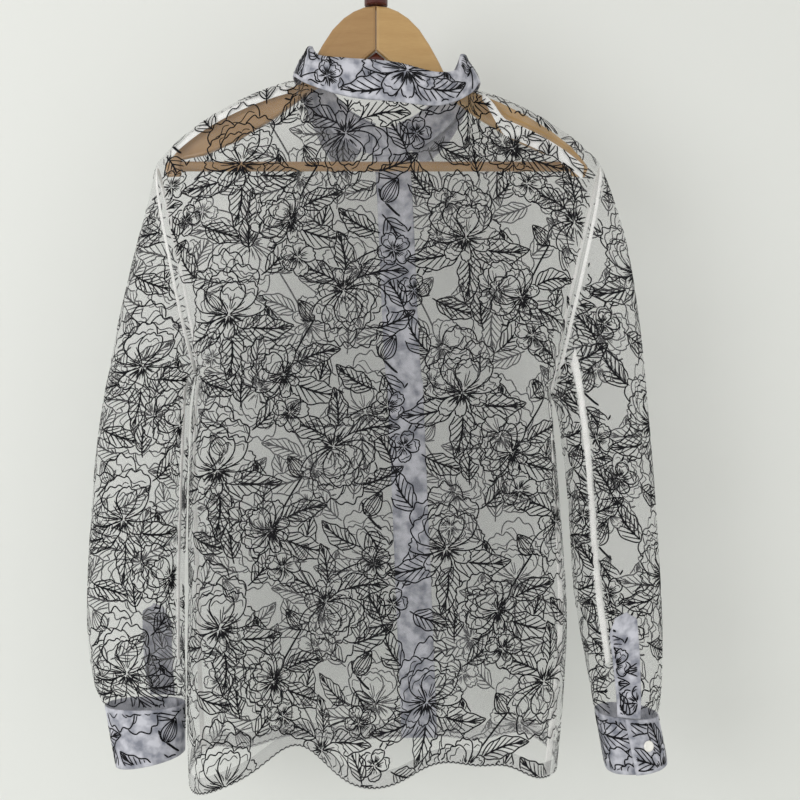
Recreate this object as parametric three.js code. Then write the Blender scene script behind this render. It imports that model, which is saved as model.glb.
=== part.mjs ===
// Sheer mesh shirt on a wooden hanger, hung with its back to the viewer.
// Millimetres, +Z up. The shirt's back faces -Y and its left side is at -X.
// The origin is the inner top of the hanger's hook, where a rail bears.
import * as THREE from 'three';

// Driving dimensions of the cloth
const CLOTH = 1.4;
const COLLAR_CLOTH = 1.6;
const CUFF_CLOTH = 2.0;
const SEAM_GAP = 0.35;
const SIDE_GAP = SEAM_GAP / 2 / 430;
const TOP_GAP = 0.012;
const STAND_GAP = 0.6;
const BAND_GAP = 0.5;
const PLACKET_GAP = 0.7;
const TAPE_GAP = 0.6;
const TAPE_CLOTH = 1.0;
const BAND_WIDTH = 36;
const BUTTON_RADIUS = 5.5;
const BUTTON_THICKNESS = 2.2;
const SMALL_BUTTON_RADIUS = 4.5;
// Shares of a button's radius and thickness: its flat face, its rim and its dish
const BUTTON_FACE = 0.78;
const BUTTON_RIM = 0.45;
const BUTTON_DISH = 0.7;
const BUTTON_SIDES = 11;

// Driving dimensions of the hanger
const HALF_SPAN = 213;
const WOOD_THICKNESS = 13;
const WOOD_BEVEL = 2.8;
const ARM_SWEEP = 17;
const WIRE_RADIUS = 1.9;
const HOOK_RADIUS = 23.5;
const BAR_RADIUS = 5;
const BAR_HEIGHT = -210;
const BAR_END = 196;
const HOOK_NUT = { top: -99.9, radius: 8.5, slope: 0.84, bottom: -112, sides: 16 };
const SLEEVE_OF_HOOK = { radius: 11.5, bore: 2.4, bottom: -54.6, height: 9 };

// Mesh columns and rows of the walls
const BODY_COLUMNS = 30;
const LOWER_ROWS = 11;
const UPPER_ROWS = 10;
const SLEEVE_COLUMNS = 28;
const SLEEVE_ROWS = 17;
const SLEEVE_TOP = 0.996;
const BAND_ROWS = 22;
const BAND_FOOT = 0.001;
const BAND_HEAD = 0.996;
const CUFF_COLUMNS = 26;
const CUFF_ROWS = 3;
const CUFF_TOP = 0.992;
const STAND_COLUMNS = 38;
const STAND_ROWS = 3;

// Sections of the body from the hem, up 0, to the underarm, up 1.
// Left and right are the edges at x, back and front the depths of the two panels,
// corner the breadth of the round side, turn the arc by which the side seams are
// turned towards the left on the far side and the right on the near side.
const BODY_SECTIONS = [
  { up: 0.00, left: -185, right: 179, back: 47, front: 45, corner: 34, middle: 3, turn: 30 },
  { up: 0.18, left: -187, right: 185, back: 47, front: 45, corner: 33, middle: 3, turn: 27 },
  { up: 0.40, left: -186, right: 189, back: 47, front: 44, corner: 32, middle: 4, turn: 22 },
  { up: 0.64, left: -186, right: 184, back: 46, front: 42, corner: 30, middle: 6, turn: 15 },
  { up: 0.85, left: -184, right: 178, back: 45, front: 40, corner: 28, middle: 8, turn: 6 },
  { up: 1.00, left: -178, right: 174, back: 44, front: 38, corner: 27, middle: 10, turn: 0 },
];
const HEM_LEFT = -817;
const HEM_RIGHT = -808;
const FRONT_HEM_RISE = 17;
// Where the back's hem is drawn up or hangs lower: x, breadth and lift
const HEM_LIFTS = [
  { at: -188, width: 22, lift: -14 },
  { at: -79, width: 36, lift: 25 },
  { at: 75, width: 30, lift: 16 },
  { at: 122, width: 30, lift: 15 },
];

// How a flute grows from where it starts down to the hem
const FLUTE_GROWTH = 1.3;
const FLUTE_MOST = 1.05;
// Flutes of the body panels. Side is -1 on the back and 1 on the front, at is the
// x of the crest at the hem and lean its shift at the underarm, push is positive
// outwards, start is the z at which it dies out.
const FLUTES = [
  { side: -1, at: -160, lean: 8, width: 26, push: 14, start: -380 },
  { side: -1, at: -78, lean: -14, width: 44, push: -46, start: -430 },
  { side: -1, at: -8, lean: -20, width: 36, push: 17, start: -330 },
  { side: -1, at: 48, lean: 10, width: 24, push: -22, start: -470 },
  { side: -1, at: 100, lean: 20, width: 30, push: 6, start: -300 },
  { side: -1, at: 150, lean: 6, width: 22, push: 9, start: -440 },
  { side: 1, at: -138, lean: 4, width: 28, push: -30, start: -360 },
  { side: 1, at: -86, lean: 12, width: 24, push: 13, start: -430 },
  { side: 1, at: -28, lean: 8, width: 26, push: -12, start: -480 },
  { side: 1, at: 100, lean: 6, width: 24, push: -16, start: -460 },
  { side: 1, at: 148, lean: -2, width: 20, push: 8, start: -480 },
];

// Sections of the sleeves from the armhole, down 0, to the cuff, down 1.
// Outer and inner are the x of the two edges with their heights, near and far the
// depths towards the viewer and away, middle the y between them, fold the depth of
// the tucks along the sleeve.
const LEFT_SLEEVE = [
  { down: 0, outer: -221, outerZ: -207, inner: -178, innerZ: -410, near: 27, far: 25, middle: 17, fold: 0 },
  { down: 0.08, outer: -228, outerZ: -243, inner: -186.5, innerZ: -436, near: 28, far: 27, middle: 14, fold: 2 },
  { down: 0.22, outer: -243, outerZ: -306, inner: -188, innerZ: -474, near: 30, far: 30, middle: 10, fold: 5 },
  { down: 0.38, outer: -261, outerZ: -388, inner: -189.5, innerZ: -522, near: 31, far: 31, middle: 8, fold: 7 },
  { down: 0.54, outer: -276, outerZ: -478, inner: -190.5, innerZ: -574, near: 31, far: 31, middle: 6, fold: 8 },
  { down: 0.7, outer: -284, outerZ: -572, inner: -191.5, innerZ: -628, near: 30, far: 30, middle: 5, fold: 8 },
  { down: 0.86, outer: -287, outerZ: -668, inner: -191.5, innerZ: -694, near: 28, far: 28, middle: 5, fold: 7 },
  { down: 0.95, outer: -281, outerZ: -722, inner: -190.5, innerZ: -730, near: 28, far: 28, middle: 5, fold: 5 },
  { down: 1, outer: -270, outerZ: -748, inner: -190.5, innerZ: -747, near: 27, far: 27, middle: 5, fold: 1.5 },
];
const RIGHT_SLEEVE = [
  { down: 0, outer: 225, outerZ: -207, inner: 174, innerZ: -434, near: 28, far: 25, middle: 17, fold: 0 },
  { down: 0.08, outer: 236, outerZ: -238, inner: 182.5, innerZ: -460, near: 29, far: 27, middle: 14, fold: 2 },
  { down: 0.22, outer: 251, outerZ: -294, inner: 187, innerZ: -498, near: 30, far: 29, middle: 9, fold: 5 },
  { down: 0.38, outer: 263, outerZ: -376, inner: 191.5, innerZ: -540, near: 30, far: 30, middle: 6, fold: 7 },
  { down: 0.54, outer: 271, outerZ: -464, inner: 194.5, innerZ: -590, near: 30, far: 31, middle: 4, fold: 8 },
  { down: 0.7, outer: 278, outerZ: -560, inner: 198, innerZ: -642, near: 30, far: 32, middle: 2, fold: 8 },
  { down: 0.86, outer: 283, outerZ: -662, inner: 208, innerZ: -700, near: 30, far: 33, middle: 0, fold: 6 },
  { down: 0.95, outer: 282, outerZ: -722, inner: 214, innerZ: -733, near: 30, far: 33, middle: -2, fold: 4 },
  { down: 1, outer: 279, outerZ: -755, inner: 217, innerZ: -752, near: 30, far: 33, middle: -2, fold: 1 },
];

const SLEEVE_FLATNESS = 0.9;
// Tucks around a sleeve. At is the place around it, from 0 at the edge on -X,
// over the near side, to 0.5 at the edge on +X, and sign is inwards or outwards.
const TUCKS = [
  { at: 0.10, width: 0.045, sign: 1 },
  { at: 0.20, width: 0.040, sign: -1 },
  { at: 0.33, width: 0.045, sign: 0.7 },
  { at: 0.41, width: 0.035, sign: -1 },
  { at: 0.60, width: 0.045, sign: -1 },
  { at: 0.71, width: 0.045, sign: 0.8 },
  { at: 0.82, width: 0.045, sign: -1 },
  { at: 0.91, width: 0.035, sign: 0.6 },
];

// Cuffs: the two edges at the top and at the bottom
const CUFF_OVERLAP = 0.11;
const CUFF_STEP = { from: 0.78, to: 0.89, gap: SEAM_GAP + 0.2 };
const LEFT_CUFF = {
  start: 0.72,
  way: -1,
  top: { left: -270, right: -190.5, leftZ: -748, rightZ: -747, near: 27, far: 27, middle: 5 },
  bottom: { left: -258, right: -190.5, leftZ: -807, rightZ: -794, near: 30, far: 29, middle: 3 },
};
const RIGHT_CUFF = {
  start: 0.216,
  way: 1,
  top: { left: 217, right: 279, leftZ: -752, rightZ: -755, near: 30, far: 33, middle: -2 },
  bottom: { left: 227, right: 287, leftZ: -808, rightZ: -800, near: 34, far: 33, middle: -4 },
};

// Sleeve plackets: the middle one of the sleeve's columns that they cover, how many,
// and their height as a share of the sleeve
const LEFT_PLACKET_COLUMN = 19.5;
const RIGHT_PLACKET_COLUMN = 6.5;
const PLACKET_OUTLINE = [
  { place: 0, row: 0.07, half: 1.5 },
  { place: 1, row: 1, half: 1.5 },
  { place: 2, row: 2, half: 1.5 },
  { place: 3, row: 3, half: 1.5 },
  { place: 4, row: 3.2, half: 1.2 },
  { place: 5, row: 3.4, half: 0.6 },
];

// Tapes inside the seams: the sleeve's column that each covers, and the columns of
// the back that the shoulder tapes cover
const LEFT_TAPE_COLUMN = 12;
const RIGHT_TAPE_COLUMN = 4;
const SIDE_TAPES = [
  { name: 'left', from: 0.1, to: 0.65 },
  { name: 'right', from: 29.35, to: 29.9 },
];
const SIDE_TAPE_FOOT = 0.002;
const ARMHOLE_TAPE = { low: 0.35, high: 0.12 };
const SLEEVE_TAPE = { margin: 0.05, low: 2, high: 1 };
const SHOULDER_TAPES = [
  { name: 'left', from: 1, to: 9, low: 1.75, high: 1.1 },
  { name: 'right', from: 22, to: 29, low: 0.7, high: 0.12 },
];
const CUFF_BUTTON = 0.08;
const STAND_BUTTON = 0.026;

// Shoulder line, falling from the neck to the tips, and the neck's loop from above
const SHOULDER_START = 88;
const SHOULDER_TOP = -126.5;
const SHOULDER_SLOPE = 0.277;
const SHOULDER_BEND = 0.00191;
const SHOULDER_ROUND = 11;
const SHOULDER_SHIFT = 0.16;
const SHIFT_EASE = 0.08;
const EDGE_PULL = 13;
const TIP_DROOP = 6;
const ON_ARM = 0.7;
const UPPER_BEND = 1.5;
const NECK_SAG = 1.6;
const ARM_BEND = 1.5;
const NECK = { x: 10, y: 1, halfWidth: 86, back: 48, front: 50 };
const NECK_HEIGHTS = { left: -125, right: -134, back: -160, front: -192 };

// The collar around the neck. Angle is 90 at the centre front, 180 at the left side,
// 270 at the back and 360 at the right side. Inset is how far the fold lies inside
// the neck seam, edgeAngle, edgeZ and edgeOut place the fall's free edge.
const COLLAR = [
  { angle: 80, foldZ: -165, inset: 3, edgeAngle: 116, edgeZ: -216, edgeOut: 8 },
  { angle: 95, foldZ: -163, inset: 3, edgeAngle: 117, edgeZ: -214, edgeOut: 8 },
  { angle: 118, foldZ: -149, inset: 5, edgeAngle: 133, edgeZ: -188, edgeOut: 8 },
  { angle: 146, foldZ: -121, inset: 10, edgeAngle: 151, edgeZ: -145, edgeOut: 9 },
  { angle: 165, foldZ: -105, inset: 12, edgeAngle: 166, edgeZ: -126, edgeOut: 9 },
  { angle: 180, foldZ: -96, inset: 12, edgeAngle: 180, edgeZ: -123, edgeOut: 7 },
  { angle: 196, foldZ: -102, inset: 11, edgeAngle: 196, edgeZ: -127, edgeOut: 7 },
  { angle: 214, foldZ: -112, inset: 9, edgeAngle: 214, edgeZ: -138, edgeOut: 7 },
  { angle: 245, foldZ: -121, inset: 5, edgeAngle: 245, edgeZ: -155, edgeOut: 6 },
  { angle: 275, foldZ: -126, inset: 4, edgeAngle: 275, edgeZ: -162, edgeOut: 6 },
  { angle: 305, foldZ: -133, inset: 4, edgeAngle: 305, edgeZ: -163, edgeOut: 6 },
  { angle: 332, foldZ: -124, inset: 7, edgeAngle: 332, edgeZ: -146, edgeOut: 8 },
  { angle: 346, foldZ: -110, inset: 10, edgeAngle: 346, edgeZ: -132, edgeOut: 9 },
  { angle: 360, foldZ: -103, inset: 11, edgeAngle: 360, edgeZ: -130, edgeOut: 8 },
  { angle: 375, foldZ: -109, inset: 11, edgeAngle: 374, edgeZ: -133, edgeOut: 9 },
  { angle: 394, foldZ: -124, inset: 10, edgeAngle: 389, edgeZ: -148, edgeOut: 9 },
  { angle: 422, foldZ: -149, inset: 5, edgeAngle: 408, edgeZ: -180, edgeOut: 8 },
  { angle: 445, foldZ: -163, inset: 3, edgeAngle: 428, edgeZ: -203, edgeOut: 8 },
  { angle: 460, foldZ: -165, inset: 3, edgeAngle: 430, edgeZ: -206, edgeOut: 8 },
];
const STAND_START = 80;
const STAND_END = 460;
const FALL_START = 98;
const FALL_END = 442;
const FALL_BOW = 1.5;
const STAND_LEAN = 1.3;
const STAND_STEP = { from: 0.88, to: 0.945, inset: 3.2 };
// The roll of the fall over the stand's top, out from it and up from it
const ROLL = [
  { out: -0.9, lift: 3.0 },
  { out: 1.7, lift: 3.5 },
  { out: 4.9, lift: 1.4 },
  { out: 7.2, lift: -3.5 },
];
const FALL_COLUMNS = 43;
const FALL_ROWS = 6;

// The hanger's head and arms: half outlines seen from the near side
const HEAD = [
  { x: 0.15, top: -55 },
  { x: 12, top: -56.5 },
  { x: 22, top: -60.5 },
  { x: 32, top: -67 },
  { x: 43, top: -78 },
  { x: 53, top: -93 },
  { x: 62, top: -109 },
  { x: 69, top: -123 },
  { x: 75, top: -131 },
  { x: 90, top: -136.5 },
];
const ARM_PLACES = [102, 125, 150, 175, 196];
const ARM_UNDERSIDE = [
  { x: 0.15, bottom: -99 },
  { x: 17, bottom: -113 },
  { x: 24, bottom: -117 },
  { x: 44, bottom: -125 },
  { x: 68, bottom: -140 },
  { x: 100, bottom: -163 },
  { x: 140, bottom: -186 },
  { x: 172, bottom: -199 },
  { x: BAR_END + 0.2, bottom: -203.4 },
  { x: BAR_END + 0.3, bottom: -218 },
  { x: BAR_END + 2, bottom: -220 },
  { x: HALF_SPAN - 3, bottom: -220 },
];
const WOOD_UNDER_CLOTH = 9.5;
// The wood's drop towards the tips, under the sleeve heads
const WOOD_TIP = { from: 86, reach: 127, drop: 6, power: 6, chamfer: 5 };
// Where the wood narrows from the head to the arm and towards the tip, and to what share
const WOOD_NARROWS = [
  { from: 55, to: 84, share: 0.68 },
  { from: 160, to: HALF_SPAN, share: 0.6 },
];
const HOOK_START = -52;
const HOOK_END = 196;

// The centre front runs from the neck down to the hem, a little to the right
const CENTRE_FRONT_TOP = 14;
const CENTRE_FRONT_HEM = 44;
const FRONT_UNDER_BAND = 0.6;
const FRONT_BUTTON_ROWS = [2, 5, 8, 11, 15, 19];

const PAINT = {
  mesh: { color: 0xcfd1d2, roughness: 0.8 },
  trim: { color: 0xc3c5d2, roughness: 0.75 },
  tape: { color: 0xf0f0ee, roughness: 0.8 },
  button: { color: 0xe4e2dc, roughness: 0.35 },
  wood: { color: 0xb8945f, roughness: 0.45 },
  steel: { color: 0xc8c8c8, roughness: 0.25, metalness: 1 },
  red: { color: 0x45140c, roughness: 0.5 },
};

const shirt = new THREE.Group();
const mix = THREE.MathUtils.lerp;
const point = (x, y, z) => new THREE.Vector3(x, y, z);

function rise(value, low, high) {
  return THREE.MathUtils.smoothstep(value, low, high);
}

// A soft hump, 1 at its middle and near nothing two widths away
function hump(distance, width) {
  return Math.exp(-((distance / width) ** 2));
}

// Reads a table at a place between its rows, with a smooth curve through them
function section(table, key, place) {
  let next = 1;
  while (next < table.length - 1 && place > table[next][key]) next += 1;
  const low = table[next - 1];
  const high = table[next];
  const before = table[Math.max(next - 2, 0)];
  const after = table[Math.min(next + 1, table.length - 1)];
  const span = high[key] - low[key];
  const t = THREE.MathUtils.clamp((place - low[key]) / span, 0, 1);
  const row = {};
  for (const name of Object.keys(low)) {
    const slopeLow = (high[name] - before[name]) / (high[key] - before[key]) * span;
    const slopeHigh = (after[name] - low[name]) / (after[key] - low[key]) * span;
    const t2 = t * t;
    const t3 = t2 * t;
    row[name] = (2 * t3 - 3 * t2 + 1) * low[name] + (t3 - 2 * t2 + t) * slopeLow
      + (3 * t2 - 2 * t3) * high[name] + (t3 - t2) * slopeHigh;
  }
  return row;
}

// Unit normal of a surface at a place, from two short steps that stay on it
function normalAt(surface, across, up) {
  const step = 0.0004;
  const wide = surface(across + step, up).sub(surface(across - step, up));
  const high = Math.min(up + step, surface.top ?? 1);
  const low = Math.max(high - 2 * step, 0);
  const tall = surface(across, high).sub(surface(across, low));
  return wide.cross(tall).normalize();
}

// Moves a surface out along its normal by a distance in millimetres
function movedOut(surface, distance) {
  return (across, up) => surface(across, up).addScaledVector(normalAt(surface, across, up), distance);
}

// A strip of a surface between two places across and two places up
function strip(surface, across, up) {
  return (s, t) => surface(mix(across[0], across[1], s), mix(up[0], up[1], t));
}

// The flat facets that a wall makes of a surface, as a surface of their own
function faceted(surface, columns, rows) {
  return (across, up) => {
    const c = THREE.MathUtils.clamp(Math.floor(across * columns), 0, columns - 1);
    const r = THREE.MathUtils.clamp(Math.floor(up * rows), 0, rows - 1);
    const low = surface(c / columns, r / rows).lerp(surface((c + 1) / columns, r / rows),
      across * columns - c);
    const high = surface(c / columns, (r + 1) / rows).lerp(
      surface((c + 1) / columns, (r + 1) / rows), across * columns - c);
    return low.lerp(high, up * rows - r);
  };
}

// A closed wall of cloth. The surface is its outer face, and across times up points
// outwards. A round wall joins its last column to its first.
function wall(surface, columns, rows, thickness, round = false) {
  return shell(surface, movedOut(surface, -thickness), columns, rows, round);
}

// The solid between an outer and an inner surface
function shell(surface, inner, columns, rows, round = false) {
  const width = round ? columns : columns + 1;
  const positions = [];
  for (const face of [surface, inner]) {
    for (let r = 0; r <= rows; r += 1) {
      for (let c = 0; c < width; c += 1) {
        positions.push(...face(c / columns, r / rows).toArray());
      }
    }
  }
  const depth = width * (rows + 1);
  const at = (layer, c, r) => layer * depth + r * width + (c % width);
  const faces = [];
  const quad = (a, b, c, d) => faces.push(a, b, c, a, c, d);
  for (let r = 0; r < rows; r += 1) {
    for (let c = 0; c < columns; c += 1) {
      quad(at(0, c, r), at(0, c + 1, r), at(0, c + 1, r + 1), at(0, c, r + 1));
      quad(at(1, c, r), at(1, c, r + 1), at(1, c + 1, r + 1), at(1, c + 1, r));
    }
  }
  for (let c = 0; c < columns; c += 1) {
    quad(at(0, c, 0), at(1, c, 0), at(1, c + 1, 0), at(0, c + 1, 0));
    quad(at(0, c, rows), at(0, c + 1, rows), at(1, c + 1, rows), at(1, c, rows));
  }
  for (let r = 0; r < rows && !round; r += 1) {
    quad(at(0, 0, r), at(0, 0, r + 1), at(1, 0, r + 1), at(1, 0, r));
    quad(at(0, columns, r), at(1, columns, r), at(1, columns, r + 1), at(0, columns, r + 1));
  }
  const geometry = new THREE.BufferGeometry();
  geometry.setAttribute('position', new THREE.Float32BufferAttribute(positions, 3));
  geometry.setIndex(faces);
  return geometry;
}

function add(name, geometry, paint) {
  const mesh = new THREE.Mesh(geometry, new THREE.MeshStandardMaterial(paint));
  mesh.name = name;
  shirt.add(mesh);
  return mesh;
}

// Heights and depths that the shoulders share with the hanger
function sweep(x) {
  return ARM_SWEEP * (Math.abs(x) / HALF_SPAN) ** ARM_BEND;
}

function shoulderZ(x) {
  const away = Math.abs(x) - SHOULDER_START;
  return SHOULDER_TOP - SHOULDER_SLOPE * away - SHOULDER_BEND * away ** 2;
}

// A closed loop around a sleeve or a cuff. Turn runs from 0 at the -X edge, over
// the near side, to 0.5 at the +X edge and back over the far side.
function loopPoint(row, turn, fold) {
  const angle = Math.PI * (1 + 2 * turn);
  const along = Math.cos(angle);
  const deep = Math.sin(angle);
  const side = (1 - along) / 2;
  let swell = 0;
  for (const tuck of TUCKS) {
    const distance = Math.abs(turn - Math.floor(turn) - tuck.at);
    swell += tuck.sign * hump(Math.min(distance, 1 - distance), tuck.width);
  }
  const depth = deep < 0 ? row.near : row.far;
  const full = Math.sign(deep) * Math.abs(deep) ** SLEEVE_FLATNESS;
  return point(
    mix(row.right, row.left, side),
    row.middle + depth * full + Math.sign(deep) * fold * swell * Math.abs(deep),
    mix(row.rightZ, row.leftZ, side),
  );
}

function sleeveLoop(table, turn, down) {
  const row = section(table, 'down', down);
  const isLeft = row.outer < 0;
  const edges = {
    left: isLeft ? row.outer : row.inner,
    leftZ: isLeft ? row.outerZ : row.innerZ,
    right: isLeft ? row.inner : row.outer,
    rightZ: isLeft ? row.innerZ : row.outerZ,
    near: row.near,
    far: row.far,
    middle: row.middle,
  };
  return loopPoint(edges, turn, row.fold);
}

// Outer face of a sleeve, from the cuff at up 0 to the armhole at up 1
function sleeveSurface(table) {
  return (across, up) => sleeveLoop(table, across, 1 - up);
}

function flutes(side, x, z) {
  let out = 0;
  for (const flute of FLUTES) {
    if (flute.side !== side) continue;
    const share = (flute.start - z) / (flute.start - HEM_RIGHT);
    const fall = THREE.MathUtils.clamp(share, 0, FLUTE_MOST);
    const crest = flute.at + flute.lean * (1 - fall);
    out += flute.push * fall ** FLUTE_GROWTH * hump(x - crest, flute.width);
  }
  return out;
}

function hemLift(x) {
  return HEM_LIFTS.reduce((sum, { at, width, lift }) => sum + lift * hump(x - at, width), 0);
}

// Half of the body's loop at a height: t runs from the left side to the right one
function bodyLoop(side, t, up) {
  const row = section(BODY_SECTIONS, 'up', up);
  const depth = side < 0 ? row.back : row.front;
  const arc = Math.PI / 2 * Math.sqrt((row.corner ** 2 + depth ** 2) / 2);
  const total = 2 * arc + row.right - row.left - 2 * row.corner;
  const along = t * total;
  const corner = Math.min(along, total - along);
  const angle = Math.min(corner / arc, 1) * Math.PI / 2;
  const inset = row.corner * (1 - Math.cos(angle)) + Math.max(corner - arc, 0);
  const x = along < total / 2 ? row.left + inset : row.right - inset;
  const raised = side > 0 ? FRONT_HEM_RISE : hemLift(x);
  const hem = mix(HEM_LEFT, HEM_RIGHT, t) + raised * Math.sin(angle);
  const under = mix(LEFT_SLEEVE[0].innerZ, RIGHT_SLEEVE[0].innerZ, t);
  const z = mix(hem, under, up);
  const still = Math.sin(angle) ** 2;
  return point(x, row.middle + side * (depth * Math.sin(angle) + still * flutes(side, x, z)), z);
}

// Any place around the body, where turn 0 is the left side, 0.5 the right side, and
// the back lies between them
function bodyRing(turn, up) {
  const place = turn - Math.floor(turn);
  return place < 0.5 ? bodyLoop(-1, 2 * place, up) : bodyLoop(1, 2 - 2 * place, up);
}

function seamTurn(up) {
  const row = section(BODY_SECTIONS, 'up', up);
  return -row.turn / (2 * (row.right - row.left) + 2 * row.back);
}

// The neck's loop and the collar's loops, seen from above. Angle is 0 at the right
// side, 90 degrees at the front and -90 degrees at the back.
function neckPoint(angle, lift = 0) {
  const deep = Math.sin(angle);
  const side = Math.cos(angle);
  const x = NECK.x + NECK.halfWidth * side;
  const sag = Math.abs(deep) ** NECK_SAG;
  const low = deep < 0 ? NECK_HEIGHTS.back : NECK_HEIGHTS.front;
  const high = mix(NECK_HEIGHTS.left, NECK_HEIGHTS.right, (1 + side) / 2);
  const y = NECK.y + sweep(x) * side * side + (deep < 0 ? NECK.back : NECK.front) * deep;
  return point(x, y, mix(high, low, sag) + lift);
}

// Upper edge of a body panel: shoulder, neck, shoulder, from left to right
function topEdge(side, across) {
  const left = LEFT_SLEEVE[0].outer;
  const right = RIGHT_SLEEVE[0].outer;
  const x = mix(left, right, across);
  const fromNeck = (x - NECK.x) / NECK.halfWidth;
  if (Math.abs(fromNeck) < 1) {
    const deep = Math.sqrt(1 - fromNeck ** 2);
    return neckPoint(Math.atan2(side * deep, fromNeck));
  }
  const tip = x < 0 ? LEFT_SLEEVE[0] : RIGHT_SLEEVE[0];
  const neck = neckPoint(x < 0 ? Math.PI : 0);
  const part = (x - neck.x) / (tip.outer - neck.x);
  const droop = (tip.outerZ - shoulderZ(tip.outer)) * part ** TIP_DROOP;
  const ease = (neck.z - shoulderZ(neck.x)) * (1 - part);
  const shift = mix(neck.y - sweep(neck.x), tip.middle - sweep(tip.outer), part);
  return point(x, sweep(x) + shift, shoulderZ(x) + droop + ease);
}

// Upper part of a panel, between the underarm at up 0 and the shoulders at up 1,
// spanned between its four edges, with the shoulder rounded over the hanger
function upperPanel(side, across, up) {
  const leftTurn = side < 0 ? 0.5 * (1 - up) : 0.5 + 0.5 * up;
  const rightTurn = side < 0 ? 0.5 * up : 1 - 0.5 * up;
  const left = sleeveLoop(LEFT_SLEEVE, leftTurn, 0);
  const right = sleeveLoop(RIGHT_SLEEVE, rightTurn, 0);
  const low = bodyLoop(side, across, 1);
  const high = topEdge(side, across);
  const leftLow = bodyLoop(side, 0, 1);
  const rightLow = bodyLoop(side, 1, 1);
  const leftHigh = topEdge(side, 0);
  const rightHigh = topEdge(side, 1);
  const climb = (1 - Math.cos(Math.PI * up)) / 2;
  const place = low.clone().lerp(high, climb);
  const below = (1 - climb) * (high.z - low.z);
  const neckPart = Math.abs(place.x - NECK.x) / NECK.halfWidth;
  const onArm = rise(neckPart, ON_ARM, 1);
  const round = Math.sqrt(1 - (1 - Math.min(below / SHOULDER_ROUND, 1)) ** 2);
  const hug = onArm * SHOULDER_ROUND * round * climb;
  const depth = (lowY, highY) => mix(lowY, highY, climb ** UPPER_BEND);
  const leftShare = (1 - across) ** EDGE_PULL;
  const rightShare = across ** EDGE_PULL;
  const leftPull = leftShare * (left.y - depth(leftLow.y, leftHigh.y));
  const rightPull = rightShare * (right.y - depth(rightLow.y, rightHigh.y));
  const free = 1 - leftShare - rightShare;
  const drop = flutes(side, place.x, place.z) - (1 - climb) * flutes(side, low.x, low.z);
  const seam = side * climb * SEAM_GAP / 2;
  place.y = depth(low.y, high.y) + side * free * (hug + drop) + leftPull + rightPull + seam;
  return place;
}

// A whole panel. Up runs from 0 at the hem over 1 at the underarm to 2 at the top.
function backSurface(across, up) {
  if (up > 1) return upperPanel(-1, across, up - 1);
  const start = seamTurn(up);
  return bodyRing(start + 0.5 * across, up);
}

// The front, from the right side seam at across 0 to the left one at across 1. Past
// up 2 it goes over the shoulder and lies on the near side.
function frontSurface(across, up) {
  if (up > 2) return backSurface(1 - across, 4 - up);
  if (up > 1) return upperPanel(1, 1 - across, up - 1);
  const start = seamTurn(up);
  return bodyRing(start + 0.5 + 0.5 * across, up);
}

// Where the centre front lies across the front, searched for at each height
function centreFront(up) {
  const height = Math.min(up, 2);
  const goal = mix(CENTRE_FRONT_HEM, CENTRE_FRONT_TOP, height / 2);
  let low = 0.2;
  let high = 0.8;
  for (let step = 0; step < 24; step += 1) {
    const middle = (low + high) / 2;
    if (frontSurface(middle, height).x > goal) low = middle;
    else high = middle;
  }
  return (low + high) / 2;
}

// Half of the placket band's width as a share of the front
function bandHalf(up) {
  const centre = centreFront(up);
  const step = 0.01;
  const height = Math.min(up, 2);
  const length = frontSurface(centre - step, height).distanceTo(frontSurface(centre + step, height));
  return BAND_WIDTH / 2 * (2 * step / length);
}

// Rows are even below and above the underarm, and one row lies on it
function panelRow(share) {
  const lower = LOWER_ROWS / (LOWER_ROWS + UPPER_ROWS);
  return share < lower ? share / lower : 1 + (share - lower) / (1 - lower);
}

// How far the right shoulder's seam is turned to the near side, over the back's width
function seamShift(across) {
  const neck = (NECK.x + NECK.halfWidth - LEFT_SLEEVE[0].outer)
    / (RIGHT_SLEEVE[0].outer - LEFT_SLEEVE[0].outer);
  return SHOULDER_SHIFT * rise(across, neck, neck + SHIFT_EASE);
}

function backSheet(s, t) {
  const across = mix(SIDE_GAP, 1 - SIDE_GAP, s);
  const up = panelRow(t);
  if (up <= 1) return backSurface(across, up);
  return backSurface(across, 1 + (up - 1) * (1 - seamShift(across) - TOP_GAP));
}

// A front between two places across, each a function of the height
function frontSheet(from, to) {
  return (s, t) => {
    const up = panelRow(t);
    const across = mix(from(up), to(up), s);
    if (up <= 1) return frontSurface(across, up);
    return frontSurface(across, 1 + (up - 1) * (1 + seamShift(1 - across)));
  };
}

function buildPanels() {
  const rows = LOWER_ROWS + UPPER_ROWS;
  add('back_panel', wall(backSheet, BODY_COLUMNS, rows, CLOTH), PAINT.mesh);
  const edge = (up, way) => centreFront(up) + way * FRONT_UNDER_BAND * bandHalf(up);
  const right = frontSheet(() => SIDE_GAP, (up) => edge(up, -1));
  const left = frontSheet((up) => edge(up, 1), () => 1 - SIDE_GAP);
  add('front_right', wall(right, BODY_COLUMNS / 2, rows, CLOTH), PAINT.mesh);
  add('front_left', wall(left, BODY_COLUMNS / 2 + 2, rows, CLOTH), PAINT.mesh);
}

// A placket band down the centre front, at a distance out from the panels
function bandSheet(distance) {
  const outside = movedOut(frontSurfaceWide, distance);
  return (s, t) => {
    const up = 2 * mix(BAND_FOOT, BAND_HEAD, t);
    return outside(centreFront(up) + mix(-1, 1, s) * bandHalf(up), up);
  };
}

function buildBands() {
  add('placket_over', wall(bandSheet(CLOTH + BAND_GAP), 2, BAND_ROWS, CLOTH), PAINT.trim);
  add('placket_under', wall(bandSheet(-CLOTH - BAND_GAP), 2, BAND_ROWS, CLOTH), PAINT.trim);
}

function frontSurfaceWide(across, up) {
  return frontSurface(across, Math.min(up, 2));
}
frontSurfaceWide.top = 2;

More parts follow.
